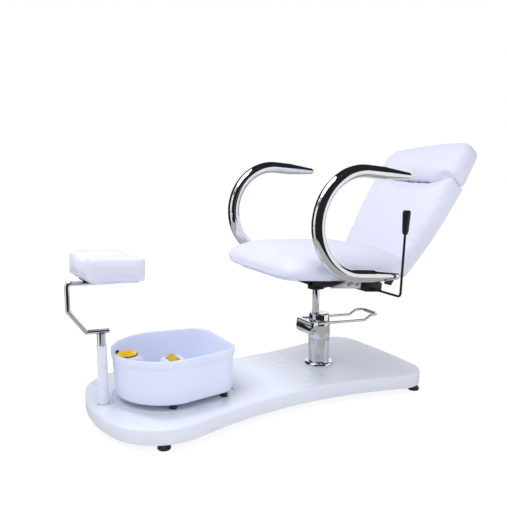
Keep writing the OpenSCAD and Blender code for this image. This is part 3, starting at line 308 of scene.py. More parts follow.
def drawn_up(name, rings):
    """A solid that starts as a flat outline and is extruded from ring to ring."""
    nothing_selected()
    bpy.ops.mesh.primitive_circle_add(vertices=len(rings[0]), radius=1.0, fill_type="NGON")
    obj = bpy.context.object
    obj.name = name
    order = [None] * len(rings[0])
    for v in obj.data.vertices:
        turn = math.atan2(v.co.y, v.co.x) / (2 * math.pi) * len(order)
        order[round(turn) % len(order)] = v.index
    for k, i in enumerate(order):
        obj.data.vertices[i].co = rings[0][k]
    for ring in rings[1:]:
        before = {tuple(round(c, 7) for c in obj.data.vertices[i].co): k for k, i in enumerate(order)}
        bpy.ops.object.mode_set(mode="EDIT")
        bpy.ops.mesh.extrude_region_move()
        bpy.ops.object.mode_set(mode="OBJECT")
        for v in obj.data.vertices:
            if v.select:
                k = before[tuple(round(c, 7) for c in v.co)]
                order[k] = v.index
        for k, i in enumerate(order):
            obj.data.vertices[i].co = ring[k]
    tidy(obj)
    return obj


def ball(centre, radius, segments, rings):
    nothing_selected()
    bpy.ops.mesh.primitive_uv_sphere_add(segments=segments, ring_count=rings, radius=radius, location=centre)
    obj = bpy.context.object
    placed(obj)
    return obj


def lifted(plan, z):
    return [(x, y, z) for x, y in plan]


def oval(a, b, cx, cy, n=64):
    turns = [2 * math.pi * i / n for i in range(n)]
    return [(cx + a * math.cos(turn), cy + b * math.sin(turn)) for turn in turns]


def turned_ring(name, profile, around, start, swell):
    """A ring turned about an X axis from a closed profile of (along, radius) points, swollen outwards."""
    nothing_selected()
    bpy.ops.mesh.primitive_torus_add(major_segments=around, minor_segments=len(profile))
    obj = bpy.context.object
    obj.name = name
    along, radius = (np.tile([p[k] for p in profile], around) for k in (0, 1))
    turn = np.repeat(np.arange(around) * 2 * math.pi / around, len(profile))
    radius = radius + swell(along, turn)
    set_points(obj, np.array(start) + np.stack([along, radius * np.cos(turn), radius * np.sin(turn)], axis=1))
    tidy(obj, 50.0)
    return obj


def cut_away(obj, cutter):
    applied(obj, "BOOLEAN", operation="DIFFERENCE", object=cutter, solver="EXACT")
    bpy.data.objects.remove(cutter)


def joined(name, parts):
    nothing_selected()
    for part in parts:
        part.select_set(True)
    bpy.context.view_layer.objects.active = parts[0]
    bpy.ops.object.join()
    parts[0].name = name
    return parts[0]


def cad_copy(node, name):
    """A closed mesh of its own, copied from a construction node."""
    obj = bpy.data.objects.new(name, frame["nodes"][node].data.copy())
    bpy.context.scene.collection.objects.link(obj)
    obj.data.materials.clear()
    only(obj)
    bpy.ops.mesh.customdata_custom_splitnormals_clear()
    edit_all(obj)
    bpy.ops.mesh.remove_doubles(threshold=1e-5)
    bpy.ops.object.mode_set(mode="OBJECT")
    return obj


def softened(node, name, width):
    """A construction node's shape with its sharp edges rounded off."""
    obj = cad_copy(node, name)
    edit_all(obj)
    bpy.ops.mesh.dissolve_limited(angle_limit=math.radians(1.0))
    bpy.ops.object.mode_set(mode="OBJECT")
    applied(obj, "BEVEL", width=width, segments=2, limit_method="ANGLE",
            angle_limit=math.radians(30.0), use_clamp_overlap=True, harden_normals=False)
    smoothed(obj, 35.0)
    return obj


# Half a stitch's thickness, and how far its middle stands above the cover.
THREAD = 0.0006
THREAD_PROUD = 0.0002


def stitched(name, cover, line, spacing):
    """A row of sewn stitches laid on a cover along a line, as one mesh."""
    path = np.array(line, float)
    steps = np.linalg.norm(np.diff(path, axis=0), axis=1)
    reach = np.concatenate([[0.0], np.cumsum(steps)])
    marks = np.arange(spacing, reach[-1] - spacing, spacing)
    nothing_selected()
    bpy.ops.mesh.primitive_uv_sphere_add(segments=8, ring_count=6, radius=1.0)
    first = bpy.context.object
    bead = points_of(first)
    row = [first]
    for k, mark in enumerate(marks):
        here = np.array([np.interp(mark, reach, path[:, i]) for i in range(3)])
        there = np.array([np.interp(mark + spacing * 0.5, reach, path[:, i]) for i in range(3)])
        _, spot, normal, _ = cover.closest_point_on_mesh(Vector(here))
        along = Vector(there - here).normalized()
        along = (along - normal * along.dot(normal)).normalized()
        across = normal.cross(along)
        axes = np.array([along * sizes().stitch_length * 0.5, across * THREAD, normal * THREAD])
        stitch = first if k == 0 else bpy.data.objects.new(name, first.data.copy())
        if k:
            bpy.context.scene.collection.objects.link(stitch)
            row.append(stitch)
        set_points(stitch, np.array(spot) + np.array(normal) * THREAD_PROUD + bead @ axes)
    seam = joined(name, row)
    smoothed(seam)
    return seam


def standing(piece, body, slot, *nodes, finish=None):
    """Puts a finished piece on its body, with its finish, in place of the nodes that it stands for."""
    piece.data.materials.clear()
    piece.data.materials.append(finish_of(finish or slot))
    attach(piece, body)
    if nodes:
        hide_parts(*nodes)


# ---------- finishes ----------

def base_finish(name, colour, roughness, metallic=0.0, **sockets):
    mat = bpy.data.materials.new(name)
    mat.use_nodes = True
    shader = mat.node_tree.nodes["Principled BSDF"]
    shader.inputs["Base Color"].default_value = (*colour, 1.0)
    shader.inputs["Roughness"].default_value = roughness
    shader.inputs["Metallic"].default_value = metallic
    for key, value in sockets.items():
        shader.inputs[key.replace("_", " ")].default_value = value
    where = mat.node_tree.nodes.new("ShaderNodeTexCoord")
    where.name = "Where"
    return mat


def texture(mat, kind, scale, stretch=(1.0, 1.0, 1.0), turn=(0.0, 0.0, 0.0), **settings):
    """A texture over the piece's own coordinates; scale is in cells per metre."""
    nodes, links = mat.node_tree.nodes, mat.node_tree.links
    place = nodes.new("ShaderNodeMapping")
    place.inputs["Scale"].default_value = stretch
    place.inputs["Rotation"].default_value = turn
    links.new(nodes["Where"].outputs["Object"], place.inputs["Vector"])
    tex = nodes.new(kind)
    links.new(place.outputs["Vector"], tex.inputs["Vector"])
    tex.inputs["Scale"].default_value = scale
    for key, value in settings.items():
        if key in tex.inputs:
            tex.inputs[key].default_value = value
        else:
            setattr(tex, key, value)
    return tex


def noise(mat, scale, detail=3.0, **more):
    return texture(mat, "ShaderNodeTexNoise", scale, Detail=detail, **more).outputs["Fac"]


def spread(mat, source, low, high, start=0.3, end=0.7):
    """The source's values between start and end, as values from low to high."""
    node = mat.node_tree.nodes.new("ShaderNodeMapRange")
    for key, value in {"From Min": start, "From Max": end, "To Min": low, "To Max": high}.items():
        node.inputs[key].default_value = value
    mat.node_tree.links.new(source, node.inputs["Value"])
    return node.outputs["Result"]


def tinted(mat, source, first, second):
    """Mixes two colours by the source into the base colour."""
    node = mat.node_tree.nodes.new("ShaderNodeMix")
    node.data_type = "RGBA"
    node.inputs["A"].default_value = (*first, 1.0)
    node.inputs["B"].default_value = (*second, 1.0)
    mat.node_tree.links.new(source, node.inputs["Factor"])
    into(mat, node.outputs["Result"], "Base Color")
    return node


def layered(mat, source, under, top):
    """Lays a second colour over what already feeds the base colour, by the source."""
    node = mat.node_tree.nodes.new("ShaderNodeMix")
    node.data_type = "RGBA"
    node.inputs["B"].default_value = (*top, 1.0)
    mat.node_tree.links.new(source, node.inputs["Factor"])
    mat.node_tree.links.new(under.outputs["Result"], node.inputs["A"])
    into(mat, node.outputs["Result"], "Base Color")
    return node


def into(mat, source, socket):
    mat.node_tree.links.new(source, mat.node_tree.nodes["Principled BSDF"].inputs[socket])


def mottled(mat, scale, detail, first, second):
    """Mixes two colours in soft patches."""
    return tinted(mat, spread(mat, noise(mat, scale, detail), 0.0, 1.0), first, second)


def uneven_gloss(mat, scale, detail, low, high):
    """Varies the roughness in soft patches."""
    into(mat, spread(mat, noise(mat, scale, detail), low, high), "Roughness")


def relief(mat, source, depth, strength):
    """Adds a bump of the given depth in metres on top of any the finish already has."""
    nodes, links = mat.node_tree.nodes, mat.node_tree.links
    bump = nodes.new("ShaderNodeBump")
    bump.inputs["Distance"].default_value = depth
    bump.inputs["Strength"].default_value = strength
    links.new(source, bump.inputs["Height"])
    normal = nodes["Principled BSDF"].inputs["Normal"]
    if normal.is_linked:
        links.new(normal.links[0].from_socket, bump.inputs["Normal"])
    links.new(bump.outputs["Normal"], normal)


def scaled(colour, k):
    return tuple(min(1.0, c * k) for c in colour)


def coated_fabric():
    """Soft white coated cloth with a fine pressed grain."""
    c = tuple(colours().upholstery)
    mat = base_finish("white_coated_fabric", c, 0.46, Sheen_Weight=0.08, Sheen_Roughness=0.4,
                      Specular_IOR_Level=0.40)
    tinted(mat, spread(mat, noise(mat, 6.0, 4.0), 0.0, 1.0, 0.35, 0.65), scaled(c, 0.985), scaled(c, 1.012))
    uneven_gloss(mat, 22.0, 3.0, 0.40, 0.54)
    grain = texture(mat, "ShaderNodeTexVoronoi", 820.0, feature="DISTANCE_TO_EDGE", Randomness=1.0)
    relief(mat, spread(mat, grain.outputs["Distance"], 0.0, 1.0, 0.0, 0.35), 0.00012, 0.5)
    relief(mat, noise(mat, 260.0, 5.0), 0.00018, 0.6)
    relief(mat, noise(mat, 14.0, 2.0), 0.0012, 0.25)
    return mat


def lacquered_board(name="white_lacquer"):
    """White lacquer with a slight orange peel, dull rubbed patches and a little dust."""
    c = tuple(colours().lacquer)
    mat = base_finish(name, c, 0.3, Coat_Weight=0.30, Coat_Roughness=0.14)
    patches = tinted(mat, spread(mat, noise(mat, 4.0, 4.0), 0.0, 1.0, 0.35, 0.7), scaled(c, 0.985),
                     scaled(c, 1.01))
    dust = spread(mat, noise(mat, 160.0, 6.0), 0.0, 0.02, 0.60, 0.80)
    layered(mat, dust, patches, (0.66, 0.66, 0.68))
    uneven_gloss(mat, 11.0, 6.0, 0.26, 0.42)
    relief(mat, noise(mat, 420.0, 2.0), 0.00006, 0.5)
    relief(mat, noise(mat, 24.0, 2.0), 0.0002, 0.10)
    return mat


def moulded_plastic():
    """Glossy moulded plastic of the basin, with faint flow marks and fine scratches."""
    c = tuple(colours().basin)
    mat = base_finish("white_moulded_plastic", c, 0.32, Specular_IOR_Level=0.32)
    flow = tinted(mat, spread(mat, noise(mat, 7.0, 3.0, stretch=(1.0, 1.0, 0.35)), 0.0, 1.0), scaled(c, 0.99),
                  scaled(c, 1.01))
    haze = spread(mat, noise(mat, 220.0, 6.0, stretch=(1.0, 1.0, 0.2)), 0.0, 0.035, 0.62, 0.82)
    layered(mat, haze, flow, (0.68, 0.70, 0.76))
    uneven_gloss(mat, 9.0, 6.0, 0.29, 0.36)
    relief(mat, noise(mat, 900.0, 2.0), 0.00002, 0.3)
    return mat


def bright_chrome():
    """Polished plating with soft waves, wiped smears and pin scratches."""
    mat = base_finish("polished_chrome", (0.77, 0.785, 0.81), 0.05, 1.0)
    mottled(mat, 12.0, 4.0, (0.73, 0.745, 0.77), (0.81, 0.825, 0.85))
    smear = noise(mat, 18.0, 6.0, stretch=(1.0, 1.0, 0.4))
    into(mat, spread(mat, smear, 0.03, 0.10, 0.42, 0.72), "Roughness")
    relief(mat, noise(mat, 24.0, 1.0), 0.0004, 0.25)
    relief(mat, noise(mat, 700.0, 4.0, stretch=(1.0, 0.2, 1.0)), 0.00001, 0.3)
    return mat


def zinc_plate():
    """Dull zinc plating with its spangle."""
    mat = base_finish("zinc_plate", (0.56, 0.57, 0.60), 0.38, 1.0)
    spangle = texture(mat, "ShaderNodeTexVoronoi", 260.0)
    tinted(mat, spread(mat, spangle.outputs["Color"], 0.0, 1.0, 0.0, 1.0), (0.48, 0.49, 0.52),
           (0.62, 0.63, 0.66))
    uneven_gloss(mat, 120.0, 5.0, 0.28, 0.5)
    relief(mat, noise(mat, 500.0, 4.0), 0.00003, 0.5)
    return mat


def enamelled(name, colour, roughness, chips, gloss, worn):
    """Baked enamel: orange peel and worn specks scattered at random."""
    mat = base_finish(name, colour, roughness, Coat_Weight=gloss, Coat_Roughness=0.2,
                      Specular_IOR_Level=0.35)
    under = mottled(mat, 26.0, 4.0, scaled(colour, 0.96), scaled(colour, 1.04))
    layered(mat, spread(mat, noise(mat, 260.0, 8.0), 0.0, worn, 0.72, 0.82), under, chips)
    uneven_gloss(mat, 60.0, 5.0, roughness - 0.06, roughness + 0.10)
    relief(mat, noise(mat, 520.0, 2.0), 0.00003, 0.3)
    return mat


def black_rubber():
    """Matte rubber with a rubbed bloom."""
    mat = base_finish("black_rubber", (0.018, 0.018, 0.019), 0.75)
    tinted(mat, spread(mat, noise(mat, 70.0, 6.0), 0.0, 1.0, 0.4, 0.75), (0.012, 0.012, 0.013),
           (0.06, 0.06, 0.062))
    uneven_gloss(mat, 90.0, 4.0, 0.6, 0.9)
    relief(mat, noise(mat, 900.0, 4.0), 0.00008, 0.6)
    return mat


def black_grip_plastic():
    """Moulded black plastic with a spark-eroded grain."""
    mat = base_finish("black_plastic", (0.010, 0.010, 0.012), 0.42, Specular_IOR_Level=0.30)
    mottled(mat, 60.0, 5.0, (0.006, 0.006, 0.008), (0.016, 0.016, 0.018))
    uneven_gloss(mat, 200.0, 4.0, 0.32, 0.55)
    grain = texture(mat, "ShaderNodeTexVoronoi", 1300.0)
    relief(mat, grain.outputs["Distance"], 0.00006, 0.5)
    return mat


def amber_plastic():
    """Clear amber plastic with swirls left by the moulding."""
    c = tuple(colours().amber)
    mat = base_finish("amber_plastic", c, 0.18, Transmission_Weight=0.12, IOR=1.49, Subsurface_Weight=0.35,
                      Subsurface_Scale=0.008)
    mottled(mat, 55.0, 4.0, scaled(c, 0.94), (0.95, 0.70, 0.06))
    uneven_gloss(mat, 120.0, 3.0, 0.12, 0.24)
    relief(mat, noise(mat, 140.0, 2.0), 0.0002, 0.3)
    return mat


def amber_lens():
    """The same plastic as a thin clear dome, with a painted glow that brightens it."""
    c = tuple(colours().amber)
    # The emission strength and colour are a painted glow that brightens the lens, not light from a lit lamp.
    mat = base_finish("amber_lens", c, 0.10, Transmission_Weight=0.60, IOR=1.30, Emission_Strength=0.22)
    mat.node_tree.nodes["Principled BSDF"].inputs["Emission Color"].default_value = (0.90, 0.62, 0.03, 1.0)
    mottled(mat, 40.0, 3.0, scaled(c, 0.95), (0.92, 0.66, 0.05))
    uneven_gloss(mat, 120.0, 3.0, 0.06, 0.18)
    relief(mat, noise(mat, 110.0, 2.0), 0.0002, 0.3)
    return mat


def white_thread():
    """Twisted polyester thread."""
    mat = base_finish("white_thread", (0.74, 0.74, 0.80), 0.6)
    twist = texture(mat, "ShaderNodeTexWave", 900.0, bands_direction="DIAGONAL", Distortion=0.5)
    relief(mat, twist.outputs["Fac"], 0.00015, 0.7)
    mottled(mat, 300.0, 3.0, (0.70, 0.70, 0.76), (0.80, 0.80, 0.86))
    return mat


def bronze():
    """Turned bronze with rings from the tool."""
    mat = base_finish("turned_bronze", (0.62, 0.42, 0.20), 0.3, 1.0)
    mottled(mat, 90.0, 5.0, (0.52, 0.34, 0.15), (0.70, 0.50, 0.26))
    rings = texture(mat, "ShaderNodeTexWave", 700.0, bands_direction="Z", Distortion=0.2)
    relief(mat, rings.outputs["Fac"], 0.00003, 0.4)
    uneven_gloss(mat, 160.0, 4.0, 0.22, 0.4)
    return mat


FINISHES = {}


def finish_of(slot):
    """The one material of a finish, made the first time it is asked for."""
    makers = {
        "upholstery": coated_fabric,
        "platform_lacquer": lacquered_board,
        "back_panel": lambda: lacquered_board("white_laminate"),
        "basin_plastic": moulded_plastic,
        "chrome": bright_chrome,
        "zinc_steel": zinc_plate,
        "white_enamel": lambda: enamelled(
            "white_enamel", (0.78, 0.80, 0.90), 0.30, chips=(0.62, 0.63, 0.68), gloss=0.0, worn=0.10),
        "black_enamel": lambda: enamelled(
            "black_enamel", tuple(colours().enamel), 0.40, chips=(0.10, 0.10, 0.11), gloss=0.04, worn=0.35),
        "black_rubber": black_rubber,
        "black_plastic": black_grip_plastic,
        "amber_plastic": amber_plastic,
        "bronze": bronze,
        "amber_lens": amber_lens,
        "white_thread": white_thread,
    }
    if slot not in FINISHES:
        FINISHES[slot] = makers[slot]()
    return FINISHES[slot]


# ---------- stage ----------

def glowing(name, colour, share, seen, mirrored_colour):
    """A plain surface that the camera sees mixed towards white and polished metal sees in its own tone."""
    mat = bpy.data.materials.new(name)
    mat.use_nodes = True
    nodes, links = mat.node_tree.nodes, mat.node_tree.links
    shader = nodes["Principled BSDF"]
    shader.inputs["Base Color"].default_value = (*colour, 1.0)
    shader.inputs["Roughness"].default_value = 0.9
    path = nodes.new("ShaderNodeLightPath")
    tone = nodes.new("ShaderNodeMix")
    tone.data_type = "RGBA"
    tone.inputs["A"].default_value = (*mirrored_colour, 1.0)
    tone.inputs["B"].default_value = (seen, seen, seen, 1.0)
    links.new(path.outputs["Is Camera Ray"], tone.inputs["Factor"])
    glow = nodes.new("ShaderNodeEmission")
    links.new(tone.outputs["Result"], glow.inputs["Color"])
    mix = nodes.new("ShaderNodeMixShader")
    amount = nodes.new("ShaderNodeMath")
    amount.operation = "MULTIPLY"
    amount.inputs[1].default_value = share
    links.new(seen_rays(nodes, links), amount.inputs[0])
    links.new(amount.outputs["Value"], mix.inputs["Fac"])
    links.new(shader.outputs["BSDF"], mix.inputs[1])
    links.new(glow.outputs["Emission"], mix.inputs[2])
    links.new(mix.outputs["Shader"], nodes["Material Output"].inputs["Surface"])
    return mat


def seen_rays(nodes, links):
    """1 for camera, glossy and transmission rays, else 0."""
    path = nodes.new("ShaderNodeLightPath")
    value = path.outputs["Is Camera Ray"]
    for name in ("Is Glossy Ray", "Is Transmission Ray"):
        top = nodes.new("ShaderNodeMath")
        top.operation = "MAXIMUM"
        links.new(value, top.inputs[0])
        links.new(path.outputs[name], top.inputs[1])
        value = top.outputs[0]
    return value


def studio_world():
    world = bpy.data.worlds.new("studio")
    bpy.context.scene.world = world
    world.use_nodes = True
    nodes, links = world.node_tree.nodes, world.node_tree.links
    ambient = nodes["Background"]
    ambient.inputs["Color"].default_value = (0.95, 0.96, 1.0, 1.0)
    ambient.inputs["Strength"].default_value = 0.72
    seen = nodes.new("ShaderNodeBackground")
    seen.inputs["Color"].default_value = (1.0, 1.0, 1.0, 1.0)
    seen.inputs["Strength"].default_value = 1.0
    mix = nodes.new("ShaderNodeMixShader")
    links.new(seen_rays(nodes, links), mix.inputs["Fac"])
    links.new(ambient.outputs["Background"], mix.inputs[1])
    links.new(seen.outputs["Background"], mix.inputs[2])
    links.new(mix.outputs["Shader"], nodes["World Output"].inputs["Surface"])


def studio_card(name, azimuth, width, low, high, distance, shade, lying=False):
    """A card that only reflections see. A lying one is at its low height, as long as high less low."""
    nothing_selected()
    bpy.ops.mesh.primitive_plane_add(size=1.0)
    card = bpy.context.object
    card.name = name
    card.scale = (width, high - low, 1.0)
    card.rotation_euler = (0.0 if lying else math.pi / 2, 0.0, math.radians(azimuth))
    a = math.radians(azimuth)
    card.location = (math.sin(a) * distance, -math.cos(a) * distance, low if lying else (low + high) / 2)
    placed(card)
    mat = bpy.data.materials.new(name)
    mat.use_nodes = True
    nodes, links = mat.node_tree.nodes, mat.node_tree.links
    glow = nodes.new("ShaderNodeEmission")
    glow.inputs["Color"].default_value = (*shade, 1.0)
    links.new(glow.outputs["Emission"], nodes["Material Output"].inputs["Surface"])
    card.data.materials.append(mat)
    card.visible_camera = False
    card.visible_diffuse = False
    card.visible_shadow = False
    card.visible_transmission = False


def soft_lamp(name, place, target, size, power):
    nothing_selected()
    bpy.ops.object.light_add(type="AREA", location=place)
    lamp = bpy.context.object
    lamp.name = name
    lamp.data.shape = "SQUARE"
    lamp.data.size = size
    lamp.data.energy = power
    lamp.rotation_euler = (Vector(target) - Vector(place)).to_track_quat("-Z", "Y").to_euler()
    lamp.visible_camera = False


CAMERA = (2.109, -1.278, 0.946)
CAMERA_AIM = (0.0, -0.118, 0.5626)
CAMERA_LENS = 45.44
# The cards' azimuths are given from the camera's own.
CAMERA_AZIMUTH = 58.8
CARD_DISTANCE = 1.55
DARK, WARM_DARK, BRIGHT = (0.020, 0.022, 0.026), (0.026, 0.021, 0.016), (1.0, 1.0, 1.0)
STANDING_CARDS = (
    # azimuth, width, low, high, shade
    (-135, 1.05, 0.0, 3.0, DARK), (-100, 0.95, 0.0, 3.0, DARK), (-62, 0.55, 0.0, 1.5, BRIGHT),
    (-62, 0.65, 1.5, 3.0, DARK), (-23, 1.35, 0.0, 3.0, WARM_DARK), (16, 1.10, 0.0, 3.0, DARK),
    (47, 0.75, 0.0, 3.0, DARK), (77, 0.95, 0.0, 1.0, BRIGHT), (103, 0.50, 0.0, 1.0, BRIGHT),
    (77, 0.95, 1.0, 3.0, DARK), (103, 0.60, 1.0, 3.0, DARK), (121, 0.36, 0.0, 3.0, DARK))
LAMPS = (
    # name, place, target, size, watts
    ("key_lamp", (1.6, -2.6, 3.0), (0.0, 0.0, 0.5), 2.4, 9.0),
    ("fill_lamp", (3.0, 1.0, 1.1), (0.0, 0.1, 0.5), 2.2, 16.0),
    ("top_lamp", (-0.1, -1.1, 2.3), (0.0, -0.5, 0.1), 1.8, 31.0))


class SPACHAIR_OT_stage(bpy.types.Operator):
    """Floor, lamps, reflection cards and camera"""
    bl_idname = "spachair.stage"
    bl_label = "Stage"

    def execute(self, context):
        scene = context.scene
        scene.view_settings.view_transform = "Standard"
        nothing_selected()
        bpy.ops.object.camera_add(location=CAMERA)
        camera = context.object
        aim = Vector(CAMERA_AIM) - camera.location
        camera.rotation_euler = aim.to_track_quat("-Z", "Y").to_euler()
        camera.data.lens = CAMERA_LENS
        camera.data.sensor_width = 36.0
        scene.camera = camera
        nothing_selected()
        bpy.ops.mesh.primitive_plane_add(size=30.0, location=(0.0, 0.0, -0.0005))
        floor = context.object
        floor.name = "floor"
        placed(floor)
        floor.data.materials.append(glowing("pale_floor", (0.86, 0.86, 0.88), share=0.78, seen=1.12,
                                            mirrored_colour=(0.36, 0.35, 0.29)))
        studio_world()
        for lamp in LAMPS:
            soft_lamp(*lamp)
        for i, (azimuth, width, low, high, shade) in enumerate(STANDING_CARDS):
            studio_card(f"card_{i}", CAMERA_AZIMUTH + azimuth, width, low, high, CARD_DISTANCE, shade)
        studio_card("card_over", CAMERA_AZIMUTH, 6.0, 2.9, 8.9, 0.0, DARK, lying=True)
        for i in range(9):
            studio_card(f"spot_{i}", CAMERA_AZIMUTH - 70 + 15 * i, 0.07, 2.85, 2.92, 1.0 + 0.3 * (i % 2),
                        BRIGHT, lying=True)
        return {"FINISHED"}


# ---------- platform ----------

WELL_GAP = 0.012
# How far a cutter stands above what it cuts.
CUT_OVER = 0.01
HOLE_DEPTH = 0.1
POST_Y = -0.713
# Radius and y of the socket for the footrest's post, and of the notch in the socket's wall.
POST_HOLES = ((0.019, POST_Y), (0.006, -0.7305))


class SPACHAIR_OT_platform(bpy.types.Operator):
    """Waisted platform with a rounded upper edge, the basin's recess and the post's socket"""
    bl_idname = "spachair.platform"
    bl_label = "Platform"

    def execute(self, context):
        edge = sizes().deck_edge
        rings = [lifted(deck_plan(0.004), DECK_LOW), lifted(deck_plan(0.0015), DECK_LOW + 0.0008),
                 lifted(deck_plan(0.0), DECK_LOW + 0.004)]
        for i in range(9):
            a = math.radians(90 * i / 8)
            rings.append(lifted(deck_plan(edge * (1 - math.cos(a))), DECK_TOP - edge * (1 - math.sin(a))))
        deck = drawn_up("platform", rings)
        lip = sizes().well_lip
        steps = ((0.0, WELL_Z), (0.0, DECK_TOP - lip), (lip * 0.3, DECK_TOP - lip * 0.3),
                 (lip, DECK_TOP + 0.0001), (lip, DECK_TOP + CUT_OVER))
        cut_away(deck, drawn_up("well", [lifted(basin_plan(WELL_GAP + out), z) for out, z in steps]))
        for radius, y in POST_HOLES:
            plan = arc(0.0, y, radius, 0, 360, 64)[:-1]
            cut_away(deck, drawn_up("hole", [lifted(plan, DECK_TOP - HOLE_DEPTH),
                                             lifted(plan, DECK_TOP + CUT_OVER)]))
        smoothed(deck, 32.0)
        standing(deck, "base", "platform_lacquer", "base_deck")
        return {"FINISHED"}


# ---------- cushions ----------

def remeshed(obj, voxel, rounds):
    """One even skin over the shape, with its facets smoothed away."""
    applied(obj, "REMESH", mode="VOXEL", voxel_size=voxel)
    applied(obj, "SMOOTH", factor=0.5, iterations=rounds)


CLOTH = {
    "quality": 4, "mass": 0.3, "tension_stiffness": 12.0, "compression_stiffness": 12.0,
    "shear_stiffness": 6.0, "bending_stiffness": 0.6, "use_pressure": True, "uniform_pressure_force": 4.0}
CLOTH_FRAMES = 20
# Shares of a cover's fill: how far it starts inside its foam, and how far it swells without the simulation.
DRAWN_IN, QUICK_SWELL = 0.35, 0.6


def blown_up(obj, cap, held):
    """Fills the cover by cloth simulation; no point moves further than the cap, held points stay."""
    applied(obj, "DISPLACE", strength=-DRAWN_IN * cap, mid_level=0.0)
    start = points_of(obj)
    only(obj)
    cloth = obj.modifiers.new("Cloth", "CLOTH")
    for key, value in CLOTH.items():
        setattr(cloth.settings, key, value)
    cloth.settings.effector_weights.gravity = 0.0
    cloth.collision_settings.use_collision = False
    cloth.point_cache.frame_start = 1
    cloth.point_cache.frame_end = CLOTH_FRAMES
    for number in range(1, CLOTH_FRAMES + 1):
        bpy.context.scene.frame_set(number)
    evaluated = obj.evaluated_get(bpy.context.evaluated_depsgraph_get())
    shape = evaluated.to_mesh()
    end = np.empty(len(shape.vertices) * 3)
    shape.vertices.foreach_get("co", end)
    end = end.reshape(-1, 3)
    evaluated.to_mesh_clear()
    obj.modifiers.remove(cloth)
    bpy.context.scene.frame_set(1)
    move = end - start
    length = np.linalg.norm(move, axis=1)
    reach = cap * np.tanh(length / cap)
    move *= (reach / np.maximum(length, 1e-9))[:, None]
    move *= held(start)[:, None]
    set_points(obj, start + move)


def smooth_step(value, low, high):
    t = np.clip((value - low) / (high - low), 0.0, 1.0)
    return t * t * (3 - 2 * t)


def unmoved(co):
    return co


def finely(obj, whole, to_local=unmoved, to_world=unmoved):
    """Smooths a blown cover and brings it back to the reach of the shape it was cut from."""
    applied(obj, "SMOOTH", factor=0.5, iterations=3)
    applied(obj, "SUBSURF", levels=1, render_levels=1)
    co, whole = to_local(points_of(obj)), to_local(whole)
    low, high = whole.min(0), whole.max(0)
    set_points(obj, to_world(low + (co - co.min(0)) / (co.max(0) - co.min(0)) * (high - low)))
    smoothed(obj)


def grooved(obj, line, width, depth):
    """Presses a seam's valley into a cover along a line of points."""
    co, no = points_of(obj), normals_of(obj)
    path = np.array(line, float)
    gap = np.full(len(co), 1.0)
    near = np.where((co > path.min(0) - 0.03).all(1) & (co < path.max(0) + 0.03).all(1))[0]
    for a, b in zip(path[:-1], path[1:]):
        ab = b - a
        t = np.clip(((co[near] - a) @ ab) / (ab @ ab), 0.0, 1.0)
        gap[near] = np.minimum(gap[near], np.linalg.norm(co[near] - (a + t[:, None] * ab), axis=1))
    press = depth * np.exp(-(gap / width) ** 2)
    set_points(obj, co - no * press[:, None])


class SPACHAIR_OT_seat_cushion(bpy.types.Operator):
    """Seat cushion, crowned, with a waterfall front"""
    bl_idname = "spachair.seat_cushion"
    bl_label = "Seat cushion"

    def execute(self, context):
        seat = cad_copy("seat_cushion", "seat_pad")
        whole = points_of(seat)
        remeshed(seat, voxel=0.0065, rounds=12)
        base = from_seat(0.0, 0.0, 0.057)
        up = Vector(turned(0.0, 1.0, SEAT_TILT))

        def clear_of_board(co):
            height = (co[:, 1] - base.y) * up[0] + (co[:, 2] - base.z) * up[1]
            return smooth_step(height, 0.002, 0.020)
        blown_up(seat, sizes().seat_fill, held=clear_of_board)
        finely(seat, whole)
        for side in (-1, 1):
            crease = [from_seat(side * (0.262 - 0.0006 * i * i), 0.150 + 0.004 * i, 0.150 - 0.012 * i)
                      for i in range(8)]
            grooved(seat, crease, width=0.010, depth=0.0022)
        standing(seat, "seat", "upholstery", "seat_cushion")
        return {"FINISHED"}


# The seam between the back's two cushions, and how deep each cushion is drawn in along it.
SEAM_U = 0.448
SEAM_PRESS = 0.0025
# Where the cushions meet the back's board.
PAD_REAR = 0.038


def seam_shift(local):
    """How far the headrest's seam climbs from the front to the rear, fading away from it."""
    x, n, u = local.T
    climb = np.interp(n, [-0.070, -0.035, PAD_REAR], [-0.022, -0.006, 0.018])
    climb = climb + 0.014 * np.clip(-x / 0.24, 0.0, 1.0) * smooth_step(-n, -0.02, 0.05)
    climb = climb + 0.032 * smooth_step(x, 0.10, 0.21) * np.exp(-((n + 0.045) / 0.036) ** 2)
    return climb * np.exp(-((u - SEAM_U) / 0.060) ** 2)


def shrug(local):
    """How far the headrest's shoulder towards -x sags."""
    x, u = local[:, 0], local[:, 2]
    return 0.044 * (np.clip(0.16 - x, 0.0, None) / 0.36) ** 2 * smooth_step(u, SEAM_U + 0.02, 0.640)


def puckered(obj, depth, sign):
    """Gathers short folds into a cover where they run out from its seam, upwards for sign 1."""
    co, no = points_of(obj), normals_of(obj)
    x, n, u = to_back(co).T
    away = sign * (u - (SEAM_U + seam_shift(to_back(co))))
    across = x * 46.0 + n * 60.0 + 1.7 * np.sin(x * 31.0)
    fold = np.sin(across * 2.2) * (0.6 + 0.4 * np.sin(across * 0.63 + 1.1))
    fade = np.exp(-(np.clip(away, 0.0, None) / 0.017) ** 2) * (away > -0.004)
    set_points(obj, co + no * (depth * fold * fade)[:, None])


